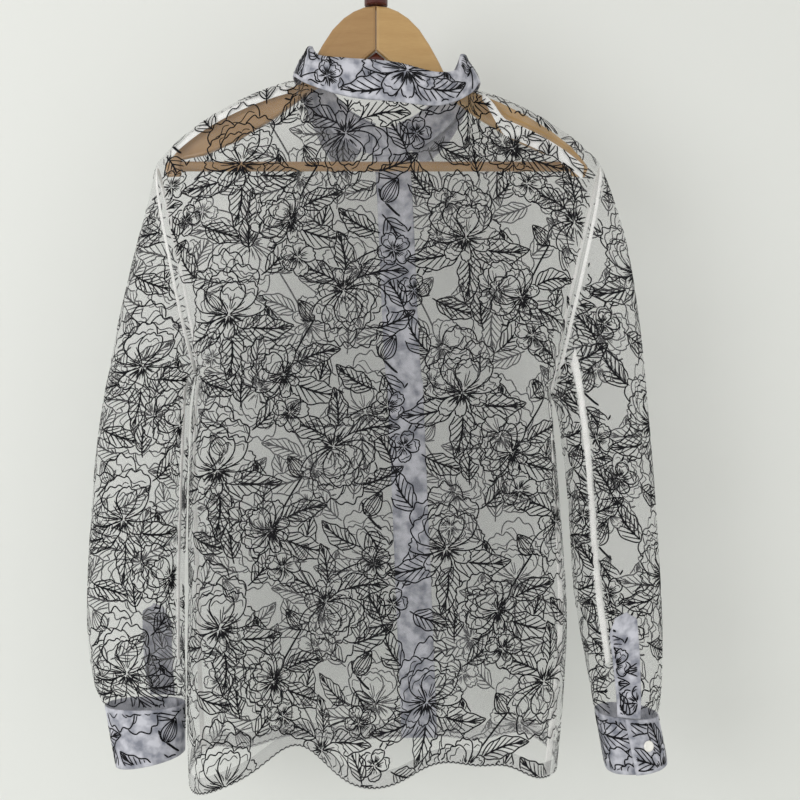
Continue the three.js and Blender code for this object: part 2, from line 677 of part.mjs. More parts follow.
function buildSleeves() {
  for (const [name, table] of [['left', LEFT_SLEEVE], ['right', RIGHT_SLEEVE]]) {
    const surface = strip(sleeveSurface(table), [0, 1], [0, SLEEVE_TOP]);
    add(`sleeve_${name}`, wall(surface, SLEEVE_COLUMNS, SLEEVE_ROWS, CLOTH, true), PAINT.mesh);
  }
}

// A cuff is a band whose last part lies under its first one
function cuffSurface(cuff) {
  return (across, up) => {
    const turn = cuff.start + cuff.way * across * (1 + CUFF_OVERLAP);
    const row = {};
    for (const key of Object.keys(cuff.top)) row[key] = mix(cuff.bottom[key], cuff.top[key], up);
    return loopPoint(row, turn, 0);
  };
}

function buildCuffs() {
  for (const [name, cuff] of [['left', LEFT_CUFF], ['right', RIGHT_CUFF]]) {
    const loop = cuffSurface(cuff);
    const band = (across, up) => {
      const under = (CUFF_CLOTH + CUFF_STEP.gap) * rise(across, CUFF_STEP.from, CUFF_STEP.to);
      const way = cuff.way;
      const place = loop(across, up);
      return place.addScaledVector(normalAt(loop, across, up), -under * way);
    };
    const surface = (across, up) => band(cuff.way > 0 ? across : 1 - across, CUFF_TOP * up);
    add(`cuff_${name}`, wall(surface, CUFF_COLUMNS, CUFF_ROWS, CUFF_CLOTH), PAINT.trim);
  }
}

// The outer facets of a sleeve, which what lies on it is made from
function sleeveFacets(table) {
  return faceted(strip(sleeveSurface(table), [0, 1], [0, SLEEVE_TOP]), SLEEVE_COLUMNS, SLEEVE_ROWS);
}

// A stitched-on strip at the sleeve's slit, pointed at its top
function buildSleevePlackets() {
  for (const [name, table, column] of [
    ['left', LEFT_SLEEVE, LEFT_PLACKET_COLUMN], ['right', RIGHT_SLEEVE, RIGHT_PLACKET_COLUMN]]) {
    const steps = PLACKET_OUTLINE.length - 1;
    const over = (gap) => {
      const outside = movedOut(sleeveFacets(table), gap);
      return (s, t) => {
        const edge = section(PLACKET_OUTLINE, 'place', t * steps);
        const crease = Math.min(0.5, 0.8 * edge.half);
        const side = Math.abs(2 * s - 1) * 1.5;
        const off = side < 0.5 ? 2 * crease * side : mix(crease, edge.half, side - 0.5);
        const place = column + Math.sign(s - 0.5) * off;
        return outside(place / SLEEVE_COLUMNS, edge.row / SLEEVE_ROWS);
      };
    };
    const placket = shell(over(PLACKET_GAP + CLOTH), over(PLACKET_GAP), 3, steps);
    add(`sleeve_placket_${name}`, placket, PAINT.trim);
  }
}

// A place on the collar: an angle around the neck, a distance out of the neck's
// loop and a height
function collarPlace(angle, out, z) {
  const turn = THREE.MathUtils.degToRad(angle);
  const base = neckPoint(turn);
  return point(base.x + out * Math.cos(turn), base.y + out * Math.sin(turn), z);
}

function standSurface(across, up) {
  const angle = mix(STAND_START, STAND_END, across);
  const row = section(COLLAR, 'angle', angle);
  const under = STAND_STEP.inset * rise(across, STAND_STEP.from, STAND_STEP.to);
  const seamZ = neckPoint(THREE.MathUtils.degToRad(angle)).z + STAND_GAP;
  return collarPlace(angle, -row.inset * up ** STAND_LEAN - under, mix(seamZ, row.foldZ, up));
}

// The fall from its free edge at up 0 to the roll over the stand at up 1
function fallSurface(across, up) {
  const angle = mix(FALL_START, FALL_END, across);
  const row = section(COLLAR, 'angle', angle);
  const place = (1 - up) * FALL_ROWS;
  const bend = Math.min(place, ROLL.length - 1);
  const step = Math.min(Math.floor(bend), ROLL.length - 2);
  const roll = {
    out: mix(ROLL[step].out, ROLL[step + 1].out, bend - step),
    lift: mix(ROLL[step].lift, ROLL[step + 1].lift, bend - step),
  };
  const part = Math.max(place - ROLL.length + 1, 0) / (FALL_ROWS - ROLL.length + 1);
  const out = mix(roll.out - row.inset, row.edgeOut, part) + FALL_BOW * Math.sin(Math.PI * part);
  const z = mix(row.foldZ + roll.lift, row.edgeZ, part);
  return collarPlace(mix(angle, row.edgeAngle, part), out, z);
}

// A tape under the cloth of some facets, over a part of their columns and rows
function tapeUnder(facets, acrossRange, upRange, columns, rows, round = false) {
  const near = strip(movedOut(facets, -CLOTH - TAPE_GAP), acrossRange, upRange);
  const far = strip(movedOut(facets, -CLOTH - TAPE_GAP - TAPE_CLOTH), acrossRange, upRange);
  return shell(near, far, columns, rows, round);
}

// White tapes on the inside of the seams, made from the facets of what they lie on
function buildTapes() {
  const rows = LOWER_ROWS + UPPER_ROWS;
  const back = faceted(backSheet, BODY_COLUMNS, rows);
  for (const { name, from, to } of SIDE_TAPES) {
    const across = [from / BODY_COLUMNS, to / BODY_COLUMNS];
    const upRange = [SIDE_TAPE_FOOT, (LOWER_ROWS - 0.5) / rows];
    const tape = tapeUnder(back, across, upRange, 1, LOWER_ROWS);
    add(`side_tape_${name}`, tape, PAINT.tape);
  }
  for (const { name, from, to, low, high } of SHOULDER_TAPES) {
    const across = [from / BODY_COLUMNS, to / BODY_COLUMNS];
    const tape = tapeUnder(back, across, [1 - low / rows, 1 - high / rows], to - from, 1);
    add(`shoulder_tape_${name}`, tape, PAINT.tape);
  }
  for (const [name, table, column] of [
    ['left', LEFT_SLEEVE, LEFT_TAPE_COLUMN], ['right', RIGHT_SLEEVE, RIGHT_TAPE_COLUMN]]) {
    const sleeve = sleeveFacets(table);
    const cap = [1 - ARMHOLE_TAPE.low / SLEEVE_ROWS, 1 - ARMHOLE_TAPE.high / SLEEVE_ROWS];
    add(`armhole_tape_${name}`, tapeUnder(sleeve, [0, 1], cap, SLEEVE_COLUMNS, 1, true), PAINT.tape);
    const { margin, low, high } = SLEEVE_TAPE;
    const across = [(column + margin) / SLEEVE_COLUMNS, (column + 1 - margin) / SLEEVE_COLUMNS];
    const upRange = [low / SLEEVE_ROWS, 1 - high / SLEEVE_ROWS];
    const seam = tapeUnder(sleeve, across, upRange, 1, SLEEVE_ROWS - low - high);
    add(`sleeve_tape_${name}`, seam, PAINT.tape);
  }
}

// A round button with a dished face, lying on a surface at a place
function buildButton(name, surface, across, up, radius) {
  const face = radius * BUTTON_FACE;
  const profile = [
    new THREE.Vector2(0, 0),
    new THREE.Vector2(face, 0),
    new THREE.Vector2(radius, BUTTON_THICKNESS * BUTTON_RIM),
    new THREE.Vector2(face, BUTTON_THICKNESS),
    new THREE.Vector2(0, BUTTON_THICKNESS * BUTTON_DISH),
  ];
  const geometry = new THREE.LatheGeometry(profile, BUTTON_SIDES);
  const button = add(name, geometry, PAINT.button);
  const normal = normalAt(surface, across, up);
  button.quaternion.setFromUnitVectors(new THREE.Vector3(0, 1, 0), normal);
  button.position.copy(surface(across, up)).addScaledVector(normal, SEAM_GAP);
}

function buildButtons() {
  const band = faceted(bandSheet(CLOTH + BAND_GAP), 2, BAND_ROWS);
  for (const [i, row] of FRONT_BUTTON_ROWS.entries()) {
    buildButton(`front_button_${i + 1}`, band, 0.5, (row + 0.5) / BAND_ROWS, BUTTON_RADIUS);
  }
  buildButton('collar_button', standSurface, STAND_BUTTON, 0.5, SMALL_BUTTON_RADIUS);
  for (const [name, cuff] of [['left', LEFT_CUFF], ['right', RIGHT_CUFF]]) {
    const loop = cuffSurface(cuff);
    const turned = (across, up) => loop(cuff.way > 0 ? across : 1 - across, up);
    buildButton(`cuff_button_${name}`, turned, cuff.way > 0 ? CUFF_BUTTON : 1 - CUFF_BUTTON, 0.5,
      BUTTON_RADIUS);
  }
}

// The wood of one arm, from the joint under the hook to its tip
function woodOutline(side) {
  const upper = HEAD.map((row) => [row.x, row.top]);
  const lower = ARM_UNDERSIDE.map((row) => [row.x, row.bottom]);
  const { from, reach, drop, power, chamfer } = WOOD_TIP;
  const woodTop = (x) => shoulderZ(x) - WOOD_UNDER_CLOTH - drop * ((x - from) / reach) ** power;
  for (const x of ARM_PLACES) upper.push([x, woodTop(x)]);
  upper.push([HALF_SPAN - 3, woodTop(HALF_SPAN)], [HALF_SPAN, woodTop(HALF_SPAN) - chamfer]);
  const outline = [...upper, ...lower.reverse()];
  return new THREE.Shape(outline.map(([x, z]) => new THREE.Vector2(side * x, z)));
}

// The wood is thickest at the head and thins out along the arms and at the tips
function woodShare(x) {
  return WOOD_NARROWS.reduce((all, { from, to, share }) => all * mix(1, share, rise(x, from, to)), 1);
}

function buildHanger() {
  for (const [name, side] of [['left', -1], ['right', 1]]) {
    const geometry = new THREE.ExtrudeGeometry(woodOutline(side), {
      depth: WOOD_THICKNESS - 2 * WOOD_BEVEL,
      bevelThickness: WOOD_BEVEL,
      bevelSize: WOOD_BEVEL,
      bevelOffset: -WOOD_BEVEL,
      bevelSegments: 2,
      steps: 1,
    });
    geometry.translate(0, 0, WOOD_BEVEL - WOOD_THICKNESS / 2);
    geometry.rotateX(Math.PI / 2);
    const places = geometry.attributes.position;
    for (let i = 0; i < places.count; i += 1) {
      const x = places.getX(i);
      places.setY(i, places.getY(i) * woodShare(Math.abs(x)) + sweep(x));
    }
    add(`hanger_arm_${name}`, geometry, PAINT.wood);
  }
  const bar = new THREE.CylinderGeometry(BAR_RADIUS, BAR_RADIUS, 2 * BAR_END - 2 * SEAM_GAP, 14);
  bar.rotateZ(Math.PI / 2);
  add('trouser_bar', bar, PAINT.wood).position.set(0, sweep(BAR_END), BAR_HEIGHT);
}

// The dark nut under the joint of the two arms, shaped to the notch above it
function buildNut() {
  const { top, radius, slope, bottom, sides } = HOOK_NUT;
  const profile = [
    new THREE.Vector2(0, bottom),
    new THREE.Vector2(radius, bottom),
    new THREE.Vector2(radius, top - slope * radius),
    new THREE.Vector2(0, top),
  ];
  const nut = new THREE.LatheGeometry(profile, sides);
  nut.rotateX(Math.PI / 2);
  add('hook_nut', nut, PAINT.red);
}

function buildHook() {
  const { radius, bore, bottom, height } = SLEEVE_OF_HOOK;
  const profile = [
    new THREE.Vector2(bore, 0),
    new THREE.Vector2(radius - 1, 0),
    new THREE.Vector2(radius, 1),
    new THREE.Vector2(radius, height - 2),
    new THREE.Vector2(radius - 2, height),
    new THREE.Vector2(bore, height),
    new THREE.Vector2(bore, 0),
  ];
  const sleeve = new THREE.LatheGeometry(profile, 20);
  sleeve.rotateX(Math.PI / 2);
  add('hook_sleeve', sleeve, PAINT.red).position.set(0, 0, bottom);
  const centre = WIRE_RADIUS - HOOK_RADIUS;
  const start = THREE.MathUtils.degToRad(HOOK_START);
  const end = THREE.MathUtils.degToRad(HOOK_END);
  const path = new THREE.CurvePath();
  const foot = point(0, 0, bottom + SEAM_GAP);
  const neck = point(0, 0, bottom + height + 1);
  const joint = point(HOOK_RADIUS * Math.cos(start), 0, centre + HOOK_RADIUS * Math.sin(start));
  const tangent = point(-Math.sin(start), 0, Math.cos(start));
  path.add(new THREE.LineCurve3(foot, neck));
  path.add(new THREE.CubicBezierCurve3(neck, neck.clone().add(point(0, 0, 6)),
    joint.clone().addScaledVector(tangent, -7), joint));
  const bow = [];
  for (let i = 0; i <= 8; i += 1) {
    const angle = mix(start, end, i / 8);
    bow.push(point(HOOK_RADIUS * Math.cos(angle), 0, centre + HOOK_RADIUS * Math.sin(angle)));
  }
  path.add(new THREE.CatmullRomCurve3(bow));
  const round = new THREE.Shape();
  round.absarc(0, 0, WIRE_RADIUS, 0, 2 * Math.PI);
  const wire = new THREE.ExtrudeGeometry(round, {
    extrudePath: path, steps: 40, curveSegments: 4, bevelEnabled: false,
  });
  add('hook', wire, PAINT.steel);
}

function buildCollar() {
  add('collar_stand', wall(standSurface, STAND_COLUMNS, STAND_ROWS, COLLAR_CLOTH), PAINT.trim);
  add('collar_fall', wall(fallSurface, FALL_COLUMNS, FALL_ROWS, COLLAR_CLOTH), PAINT.trim);
}

buildPanels();
buildBands();
buildSleeves();
buildCuffs();
buildSleevePlackets();
buildCollar();
buildTapes();
buildButtons();
buildHanger();
buildNut();
buildHook();

export default shirt;
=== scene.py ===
"""Sheer embroidered shirt on a wooden hanger, seen from its back.

Lengths in the tables are millimetres in the part's own frame: +Z up, the shirt's back
towards -Y, the origin at the inner top of the hanger's hook.
"""

import math

import bpy
import numpy as np
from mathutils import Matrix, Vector


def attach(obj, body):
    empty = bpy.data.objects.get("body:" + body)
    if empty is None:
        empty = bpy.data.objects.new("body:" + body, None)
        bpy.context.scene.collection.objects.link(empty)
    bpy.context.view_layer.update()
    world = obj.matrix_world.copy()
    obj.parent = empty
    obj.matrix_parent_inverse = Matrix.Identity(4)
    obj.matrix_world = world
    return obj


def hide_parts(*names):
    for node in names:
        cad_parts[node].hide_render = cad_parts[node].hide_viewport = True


bl_info = {
    "name": "Sheer Embroidered Shirt",
    "version": (1, 0, 0),
    "blender": (4, 5, 0),
    "location": "3D View > Sidebar > Shirt",
    "description": "Builds a sheer embroidered shirt on a wooden hanger",
    "category": "Object",
}

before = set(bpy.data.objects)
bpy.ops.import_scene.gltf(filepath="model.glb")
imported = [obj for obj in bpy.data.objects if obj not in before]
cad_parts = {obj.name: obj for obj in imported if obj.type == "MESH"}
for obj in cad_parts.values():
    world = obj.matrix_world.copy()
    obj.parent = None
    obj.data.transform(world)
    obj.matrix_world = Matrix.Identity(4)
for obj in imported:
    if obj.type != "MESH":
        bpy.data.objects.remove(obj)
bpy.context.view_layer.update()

MM = 0.001


# Sections of the shirt
def columns(names, *rows):
    """A table of sections, one array for each column name."""
    return {n: np.array([r[i] for r in rows], float) for i, n in enumerate(names.split())}


BODY = columns(
    "up left right back front corner middle turn",
    (0.00, -185, 179, 47, 45, 34, 3, 30),
    (0.18, -187, 185, 47, 45, 33, 3, 27),
    (0.40, -186, 189, 47, 44, 32, 4, 22),
    (0.64, -186, 184, 46, 42, 30, 6, 15),
    (0.85, -184, 178, 45, 40, 28, 8, 6),
    (1.00, -178, 174, 44, 38, 27, 10, 0),
)
HEM_LEFT = -817
HEM_RIGHT = -808
FRONT_HEM_RISE = 17
HEM_LIFTS = columns("at width lift", (-188, 22, -14), (-79, 36, 25), (75, 30, 16), (122, 30, 15))
FLUTES = columns(
    "side at lean width push start",
    (-1, -160, 8, 26, 14, -380),
    (-1, -78, -14, 44, -46, -430),
    (-1, -8, -20, 36, 17, -330),
    (-1, 48, 10, 24, -22, -470),
    (-1, 100, 20, 30, 6, -300),
    (-1, 150, 6, 22, 9, -440),
    (1, -138, 4, 28, -30, -360),
    (1, -86, 12, 24, 13, -430),
    (1, -28, 8, 26, -12, -480),
    (1, 100, 6, 24, -16, -460),
    (1, 148, -2, 20, 8, -480),
)
SLEEVE_COLUMNS = "down outer outer_z inner inner_z near far middle fold"
LEFT_SLEEVE = columns(
    SLEEVE_COLUMNS,
    (0.00, -221, -207, -178.0, -410, 27, 25, 17, 0),
    (0.08, -228, -243, -186.5, -436, 28, 27, 14, 2),
    (0.22, -243, -306, -188.0, -474, 30, 30, 10, 5),
    (0.38, -261, -388, -189.5, -522, 31, 31, 8, 7),
    (0.54, -276, -478, -190.5, -574, 31, 31, 6, 8),
    (0.70, -284, -572, -191.5, -628, 30, 30, 5, 8),
    (0.86, -287, -668, -191.5, -694, 28, 28, 5, 7),
    (0.95, -281, -722, -190.5, -730, 28, 28, 5, 5),
    (1.00, -270, -748, -190.5, -747, 27, 27, 5, 1.5),
)
RIGHT_SLEEVE = columns(
    SLEEVE_COLUMNS,
    (0.00, 225, -207, 174.0, -434, 28, 25, 17, 0),
    (0.08, 236, -238, 182.5, -460, 29, 27, 14, 2),
    (0.22, 251, -294, 187.0, -498, 30, 29, 9, 5),
    (0.38, 263, -376, 191.5, -540, 30, 30, 6, 7),
    (0.54, 271, -464, 194.5, -590, 30, 31, 4, 8),
    (0.70, 278, -560, 198.0, -642, 30, 32, 2, 8),
    (0.86, 283, -662, 208.0, -700, 30, 33, 0, 6),
    (0.95, 282, -722, 214.0, -733, 30, 33, -2, 4),
    (1.00, 279, -755, 217.0, -752, 30, 33, -2, 1),
)
TUCKS = columns(
    "at width sign",
    (0.10, 0.045, 1),
    (0.20, 0.040, -1),
    (0.33, 0.045, 0.7),
    (0.41, 0.035, -1),
    (0.60, 0.045, -1),
    (0.71, 0.045, 0.8),
    (0.82, 0.045, -1),
    (0.91, 0.035, 0.6),
)
CUFF_COLUMNS = "up left right left_z right_z near far middle"
LEFT_CUFF = columns(
    CUFF_COLUMNS,
    (0, -258, -190.5, -807, -794, 30, 29, 3),
    (1, -270, -190.5, -748, -747, 27, 27, 5),
)
RIGHT_CUFF = columns(
    CUFF_COLUMNS,
    (0, 227, 287, -808, -800, 34, 33, -4),
    (1, 217, 279, -752, -755, 30, 33, -2),
)
CUFF_OVERLAP = 0.11
COLLAR = columns(
    "angle fold_z inset edge_angle edge_z edge_out",
    (80, -165, 3, 116, -216, 8),
    (95, -163, 3, 117, -214, 8),
    (118, -149, 5, 133, -188, 8),
    (146, -121, 10, 151, -145, 9),
    (165, -105, 12, 166, -126, 9),
    (180, -96, 12, 180, -123, 7),
    (196, -102, 11, 196, -127, 7),
    (214, -112, 9, 214, -138, 7),
    (245, -121, 5, 245, -155, 6),
    (275, -126, 4, 275, -162, 6),
    (305, -133, 4, 305, -163, 6),
    (332, -124, 7, 332, -146, 8),
    (346, -110, 10, 346, -132, 9),
    (360, -103, 11, 360, -130, 8),
    (375, -109, 11, 374, -133, 9),
    (394, -124, 10, 389, -148, 9),
    (422, -149, 5, 408, -180, 8),
    (445, -163, 3, 428, -203, 8),
    (460, -165, 3, 430, -206, 8),
)
ROLL = columns("place out lift", (0, -0.9, 3.0), (1, 1.7, 3.5), (2, 4.9, 1.4), (3, 7.2, -3.5))
STAND_SPAN = (80, 460)
FALL_SPAN = (98, 442)
FALL_ROWS = 6
ARM_SWEEP = 17
HALF_SPAN = 213
SHOULDER_START = 88
SHOULDER_TOP = -126.5
SHOULDER_SLOPE = 0.277
SHOULDER_BEND = 0.00191
SHOULDER_ROUND = 11
SHOULDER_SHIFT = 0.16
EDGE_PULL = 13
NECK_X = 10
NECK_Y = 1
NECK_HALF = 86
NECK_BACK = 48
NECK_FRONT = 50
NECK_LOW_BACK = -160
NECK_LOW_FRONT = -192
NECK_LEFT = -125
NECK_RIGHT = -134
CENTRE_TOP = 14
CENTRE_HEM = 44
BAND_WIDTH = 36
SLEEVE_PLACES = 28
BACK_PLACES = 30
LEFT_SEAM = 12.5 / SLEEVE_PLACES
RIGHT_SEAM = 4.5 / SLEEVE_PLACES
SLEEVE_REACH = 0.997
BACK_SEAM_GAP = 0.012
FRONT_REACH = 0.6
BAND_SPAN = (0.001, 0.996)
# How far each layer stands off the surface that carries it, inwards below 0
BAND_DISTANCE = 1.9
TAPE_DISTANCE = -1.5
HEM_DISTANCE = -0.7
STITCH_DISTANCE = 0.4
THREAD_DISTANCE = 0.35
# Where the last part of a cuff or stand steps in under the first, and how far
CUFF_STEP = (0.78, 0.89)
CUFF_UNDERLAP = 2.75
CUFF_REACH = 0.992
STAND_STEP = (0.88, 0.945)
STAND_UNDERLAP = 3.2
STAND_GAP = 0.6
# The least side a sheet's cut is raised to, and the least share of width by length for a sheet's area
LEAST_SIDE = 10.1
LEAST_AREA_SHARE = 0.31


def mix(a, b, t):
    return a + (b - a) * t


def rise(value, low, high):
    t = np.clip((value - low) / (high - low), 0, 1)
    return t * t * (3 - 2 * t)


def hump(distance, width):
    return np.exp(-((distance / width) ** 2))


def points(x, y, z):
    """Stacks three broadcast arrays into points."""
    return np.stack(np.broadcast_arrays(x, y, z), -1).astype(float)


def unit(vectors):
    return vectors / np.maximum(np.linalg.norm(vectors, axis=-1, keepdims=True), 1e-9)


def section(rows, key, place):
    """Every column of a table at the places, on a smooth curve through its rows."""
    at = rows[key]
    place = np.asarray(place, float)
    high = np.clip(np.searchsorted(at, place), 1, len(at) - 1)
    low = high - 1
    before = np.maximum(high - 2, 0)
    after = np.minimum(high + 1, len(at) - 1)
    span = at[high] - at[low]
    t = np.clip((place - at[low]) / span, 0, 1)
    out = {}
    for name, v in rows.items():
        slope_low = (v[high] - v[before]) / (at[high] - at[before]) * span
        slope_high = (v[after] - v[low]) / (at[after] - at[low]) * span
        out[name] = (
            (2 * t**3 - 3 * t**2 + 1) * v[low]
            + (t**3 - 2 * t**2 + t) * slope_low
            + (3 * t**2 - 2 * t**3) * v[high]
            + (t**3 - t**2) * slope_high
        )
    return out


def sweep(x):
    """How far the hanger's arms bend forwards at x."""
    return ARM_SWEEP * (np.abs(x) / HALF_SPAN) ** 1.5


def shoulder_z(x):
    """Height of the shoulder line, on top of the hanger's arms."""
    away = np.abs(x) - SHOULDER_START
    return SHOULDER_TOP - SHOULDER_SLOPE * away - SHOULDER_BEND * away**2


def loop_point(row, turn, fold):
    """A point round a sleeve or cuff, with its lengthwise tucks."""
    angle = math.pi * (1 + 2 * turn)
    along = np.cos(angle)
    deep = np.sin(angle)
    side = (1 - along) / 2
    place = turn - np.floor(turn)
    swell = 0.0
    for at, width, sign in zip(TUCKS["at"], TUCKS["width"], TUCKS["sign"]):
        distance = np.abs(place - at)
        swell = swell + sign * hump(np.minimum(distance, 1 - distance), width)
    depth = np.where(deep < 0, row["near"], row["far"])
    full = np.sign(deep) * np.abs(deep) ** 0.9
    y = row["middle"] + depth * full + np.sign(deep) * fold * swell * np.abs(deep)
    return points(
        mix(row["right"], row["left"], side), y, mix(row["right_z"], row["left_z"], side)
    )


def sleeve_loop(rows, turn, down):
    row = section(rows, "down", down)
    is_left = rows["outer"][0] < 0
    edges = {
        "left": row["outer" if is_left else "inner"],
        "left_z": row["outer_z" if is_left else "inner_z"],
        "right": row["inner" if is_left else "outer"],
        "right_z": row["inner_z" if is_left else "outer_z"],
        "near": row["near"],
        "far": row["far"],
        "middle": row["middle"],
    }
    return loop_point(edges, turn, row["fold"])


def flutes(side, x, z):
    """Outward push of the soft folds that hang down one side of the body."""
    out = 0.0
    for of, at, lean, width, push, start in zip(*FLUTES.values()):
        if of != side:
            continue
        fall = np.clip((start - z) / (start - HEM_RIGHT), 0, 1.05)
        crest = at + lean * (1 - fall)
        out = out + push * fall**1.3 * hump(x - crest, width)
    return out


def body_loop(side, t, up):
    """The back, side -1, or the front, side 1, from left to right below the underarm."""
    row = section(BODY, "up", up)
    depth = row["back"] if side < 0 else row["front"]
    arc = math.pi / 2 * np.sqrt((row["corner"] ** 2 + depth**2) / 2)
    total = 2 * arc + row["right"] - row["left"] - 2 * row["corner"]
    along = t * total
    corner = np.minimum(along, total - along)
    angle = np.clip(corner / arc, 0, 1) * math.pi / 2
    inset = row["corner"] * (1 - np.cos(angle)) + np.maximum(corner - arc, 0)
    x = np.where(along < total / 2, row["left"] + inset, row["right"] - inset)
    raised = FRONT_HEM_RISE
    if side < 0:
        raised = sum(lift * hump(x - at, width) for at, width, lift in zip(*HEM_LIFTS.values()))
    hem = mix(HEM_LEFT, HEM_RIGHT, t) + raised * np.sin(angle)
    under = mix(LEFT_SLEEVE["inner_z"][0], RIGHT_SLEEVE["inner_z"][0], t)
    z = mix(hem, under, up)
    still = np.sin(angle) ** 2
    y = row["middle"] + side * (depth * np.sin(angle) + still * flutes(side, x, z))
    return points(x, y, z)


def body_ring(turn, up):
    place = turn - np.floor(turn)
    near = body_loop(-1, np.clip(2 * place, 0, 1), up)
    far = body_loop(1, np.clip(2 - 2 * place, 0, 1), up)
    return np.where((place < 0.5)[..., None], near, far)


def seam_turn(up):
    row = section(BODY, "up", up)
    return -row["turn"] / (2 * (row["right"] - row["left"]) + 2 * row["back"])


def neck_point(angle):
    deep = np.sin(angle)
    side = np.cos(angle)
    x = NECK_X + NECK_HALF * side
    low = np.where(deep < 0, NECK_LOW_BACK, NECK_LOW_FRONT)
    high = mix(NECK_LEFT, NECK_RIGHT, (1 + side) / 2)
    y = NECK_Y + sweep(x) * side * side + np.where(deep < 0, NECK_BACK, NECK_FRONT) * deep
    return points(x, y, mix(high, low, np.abs(deep) ** 1.6))


def top_edge(side, across):
    """The neck's edge, and the shoulder line on both sides of it."""
    left, right = LEFT_SLEEVE["outer"][0], RIGHT_SLEEVE["outer"][0]
    x = mix(left, right, np.asarray(across, float))
    from_neck = (x - NECK_X) / NECK_HALF
    deep = np.sqrt(np.clip(1 - from_neck**2, 0, 1))
    on_neck = neck_point(np.arctan2(side * deep, from_neck))
    is_left = x < 0
    tip = {
        name: np.where(is_left, LEFT_SLEEVE[name][0], RIGHT_SLEEVE[name][0])
        for name in ("outer", "outer_z", "middle")
    }
    neck = neck_point(np.where(is_left, math.pi, 0.0))
    part = np.clip((x - neck[..., 0]) / (tip["outer"] - neck[..., 0]), 0, 1)
    droop = (tip["outer_z"] - shoulder_z(tip["outer"])) * part**6
    ease = (neck[..., 2] - shoulder_z(neck[..., 0])) * (1 - part)
    shift = mix(neck[..., 1] - sweep(neck[..., 0]), tip["middle"] - sweep(tip["outer"]), part)
    on_shoulder = points(x, sweep(x) + shift, shoulder_z(x) + droop + ease)
    return np.where((np.abs(from_neck) < 1)[..., None], on_neck, on_shoulder)


def upper_panel(side, across, up):
    """The back or the front between the underarm, up 0, and the top edge, up 1."""
    left_turn = 0.5 * (1 - up) if side < 0 else 0.5 + 0.5 * up
    right_turn = 0.5 * up if side < 0 else 1 - 0.5 * up
    left = sleeve_loop(LEFT_SLEEVE, left_turn, 0.0)
    right = sleeve_loop(RIGHT_SLEEVE, right_turn, 0.0)
    low = body_loop(side, across, 1.0)
    high = top_edge(side, across)
    left_low, right_low = body_loop(side, 0.0, 1.0)[1], body_loop(side, 1.0, 1.0)[1]
    left_high, right_high = top_edge(side, 0.0)[1], top_edge(side, 1.0)[1]
    climb = (1 - np.cos(math.pi * up)) / 2
    place = low + (high - low) * climb[..., None]
    below = (1 - climb) * (high[..., 2] - low[..., 2])
    on_arm = rise(np.abs(place[..., 0] - NECK_X) / NECK_HALF, 0.7, 1)
    roundness = np.sqrt(1 - (1 - np.clip(below / SHOULDER_ROUND, 0, 1)) ** 2)
    hug = on_arm * SHOULDER_ROUND * roundness * climb
    left_share = (1 - across) ** EDGE_PULL
    right_share = across**EDGE_PULL
    left_pull = left_share * (left[..., 1] - mix(left_low, left_high, climb**1.5))
    right_pull = right_share * (right[..., 1] - mix(right_low, right_high, climb**1.5))
    free = 1 - left_share - right_share
    drop = flutes(side, place[..., 0], place[..., 2]) - (1 - climb) * flutes(
        side, low[..., 0], low[..., 2]
    )
    depth = mix(low[..., 1], high[..., 1], climb**1.5)
    place[..., 1] = depth + side * free * (hug + drop) + left_pull + right_pull
    return place


def both(across, up):
    across, up = np.broadcast_arrays(np.asarray(across, float), np.asarray(up, float))
    return across, up


def back_surface(across, up):
    across, up = both(across, up)
    lower = np.minimum(up, 1)
    low = body_ring(seam_turn(lower) + 0.5 * across, lower)
    high = upper_panel(-1, np.clip(across, 0, 1), np.clip(up - 1, 0, 1))
    return np.where((up > 1)[..., None], high, low)


def front_surface(across, up):
    across, up = both(across, up)
    lower = np.minimum(up, 1)
    low = body_ring(seam_turn(lower) + 0.5 + 0.5 * across, lower)
    high = upper_panel(1, np.clip(1 - across, 0, 1), np.clip(up - 1, 0, 1))
    over = back_surface(1 - across, np.clip(4 - up, 1, 2))
    out = np.where((up > 1)[..., None], high, low)
    return np.where((up > 2)[..., None], over, out)


def make_centre_front():
    """The share of the front's width at which its centre lies, at each height."""
    heights = np.linspace(0, 2, 81)
    goal = mix(CENTRE_HEM, CENTRE_TOP, heights / 2)
    low, high = np.full(81, 0.2), np.full(81, 0.8)
    for _ in range(24):
        middle = (low + high) / 2
        right_of = front_surface(middle, heights)[..., 0] > goal
        low = np.where(right_of, middle, low)
        high = np.where(right_of, high, middle)
    centre = (low + high) / 2
    step = 0.01
    apart = front_surface(centre - step, heights) - front_surface(centre + step, heights)
    half = BAND_WIDTH / 2 * 2 * step / np.linalg.norm(apart, axis=-1)
    return heights, centre, half


CENTRE_UP, CENTRE_ACROSS, CENTRE_HALF = make_centre_front()


def centre_front(up):
    return np.interp(up, CENTRE_UP, CENTRE_ACROSS)


def band_half(up):
    return np.interp(up, CENTRE_UP, CENTRE_HALF)


def seam_shift(across):
    left, right = LEFT_SLEEVE["outer"][0], RIGHT_SLEEVE["outer"][0]
    neck = (NECK_X + NECK_HALF - left) / (right - left)
    return SHOULDER_SHIFT * rise(across, neck, neck + 0.08)


def back_sheet(s, t):
    """The back from hem, t 0, to shoulder, t 1. The underarm lies at t 0.5."""
    s, t = both(s, t)
    up = 2 * t
    shift = seam_shift(s)
    return back_surface(s, np.where(up <= 1, up, 1 + (up - 1) * (1 - shift - BACK_SEAM_GAP)))


def front_sheet(start, end):
    """A front between two places across, each a function of the height."""

    def surface(s, t):
        s, t = both(s, t)
        up = 2 * t
        across = mix(start(up), end(up), s)
        shift = seam_shift(1 - across)
        return front_surface(across, np.where(up <= 1, up, 1 + (up - 1) * (1 + shift)))

    return surface


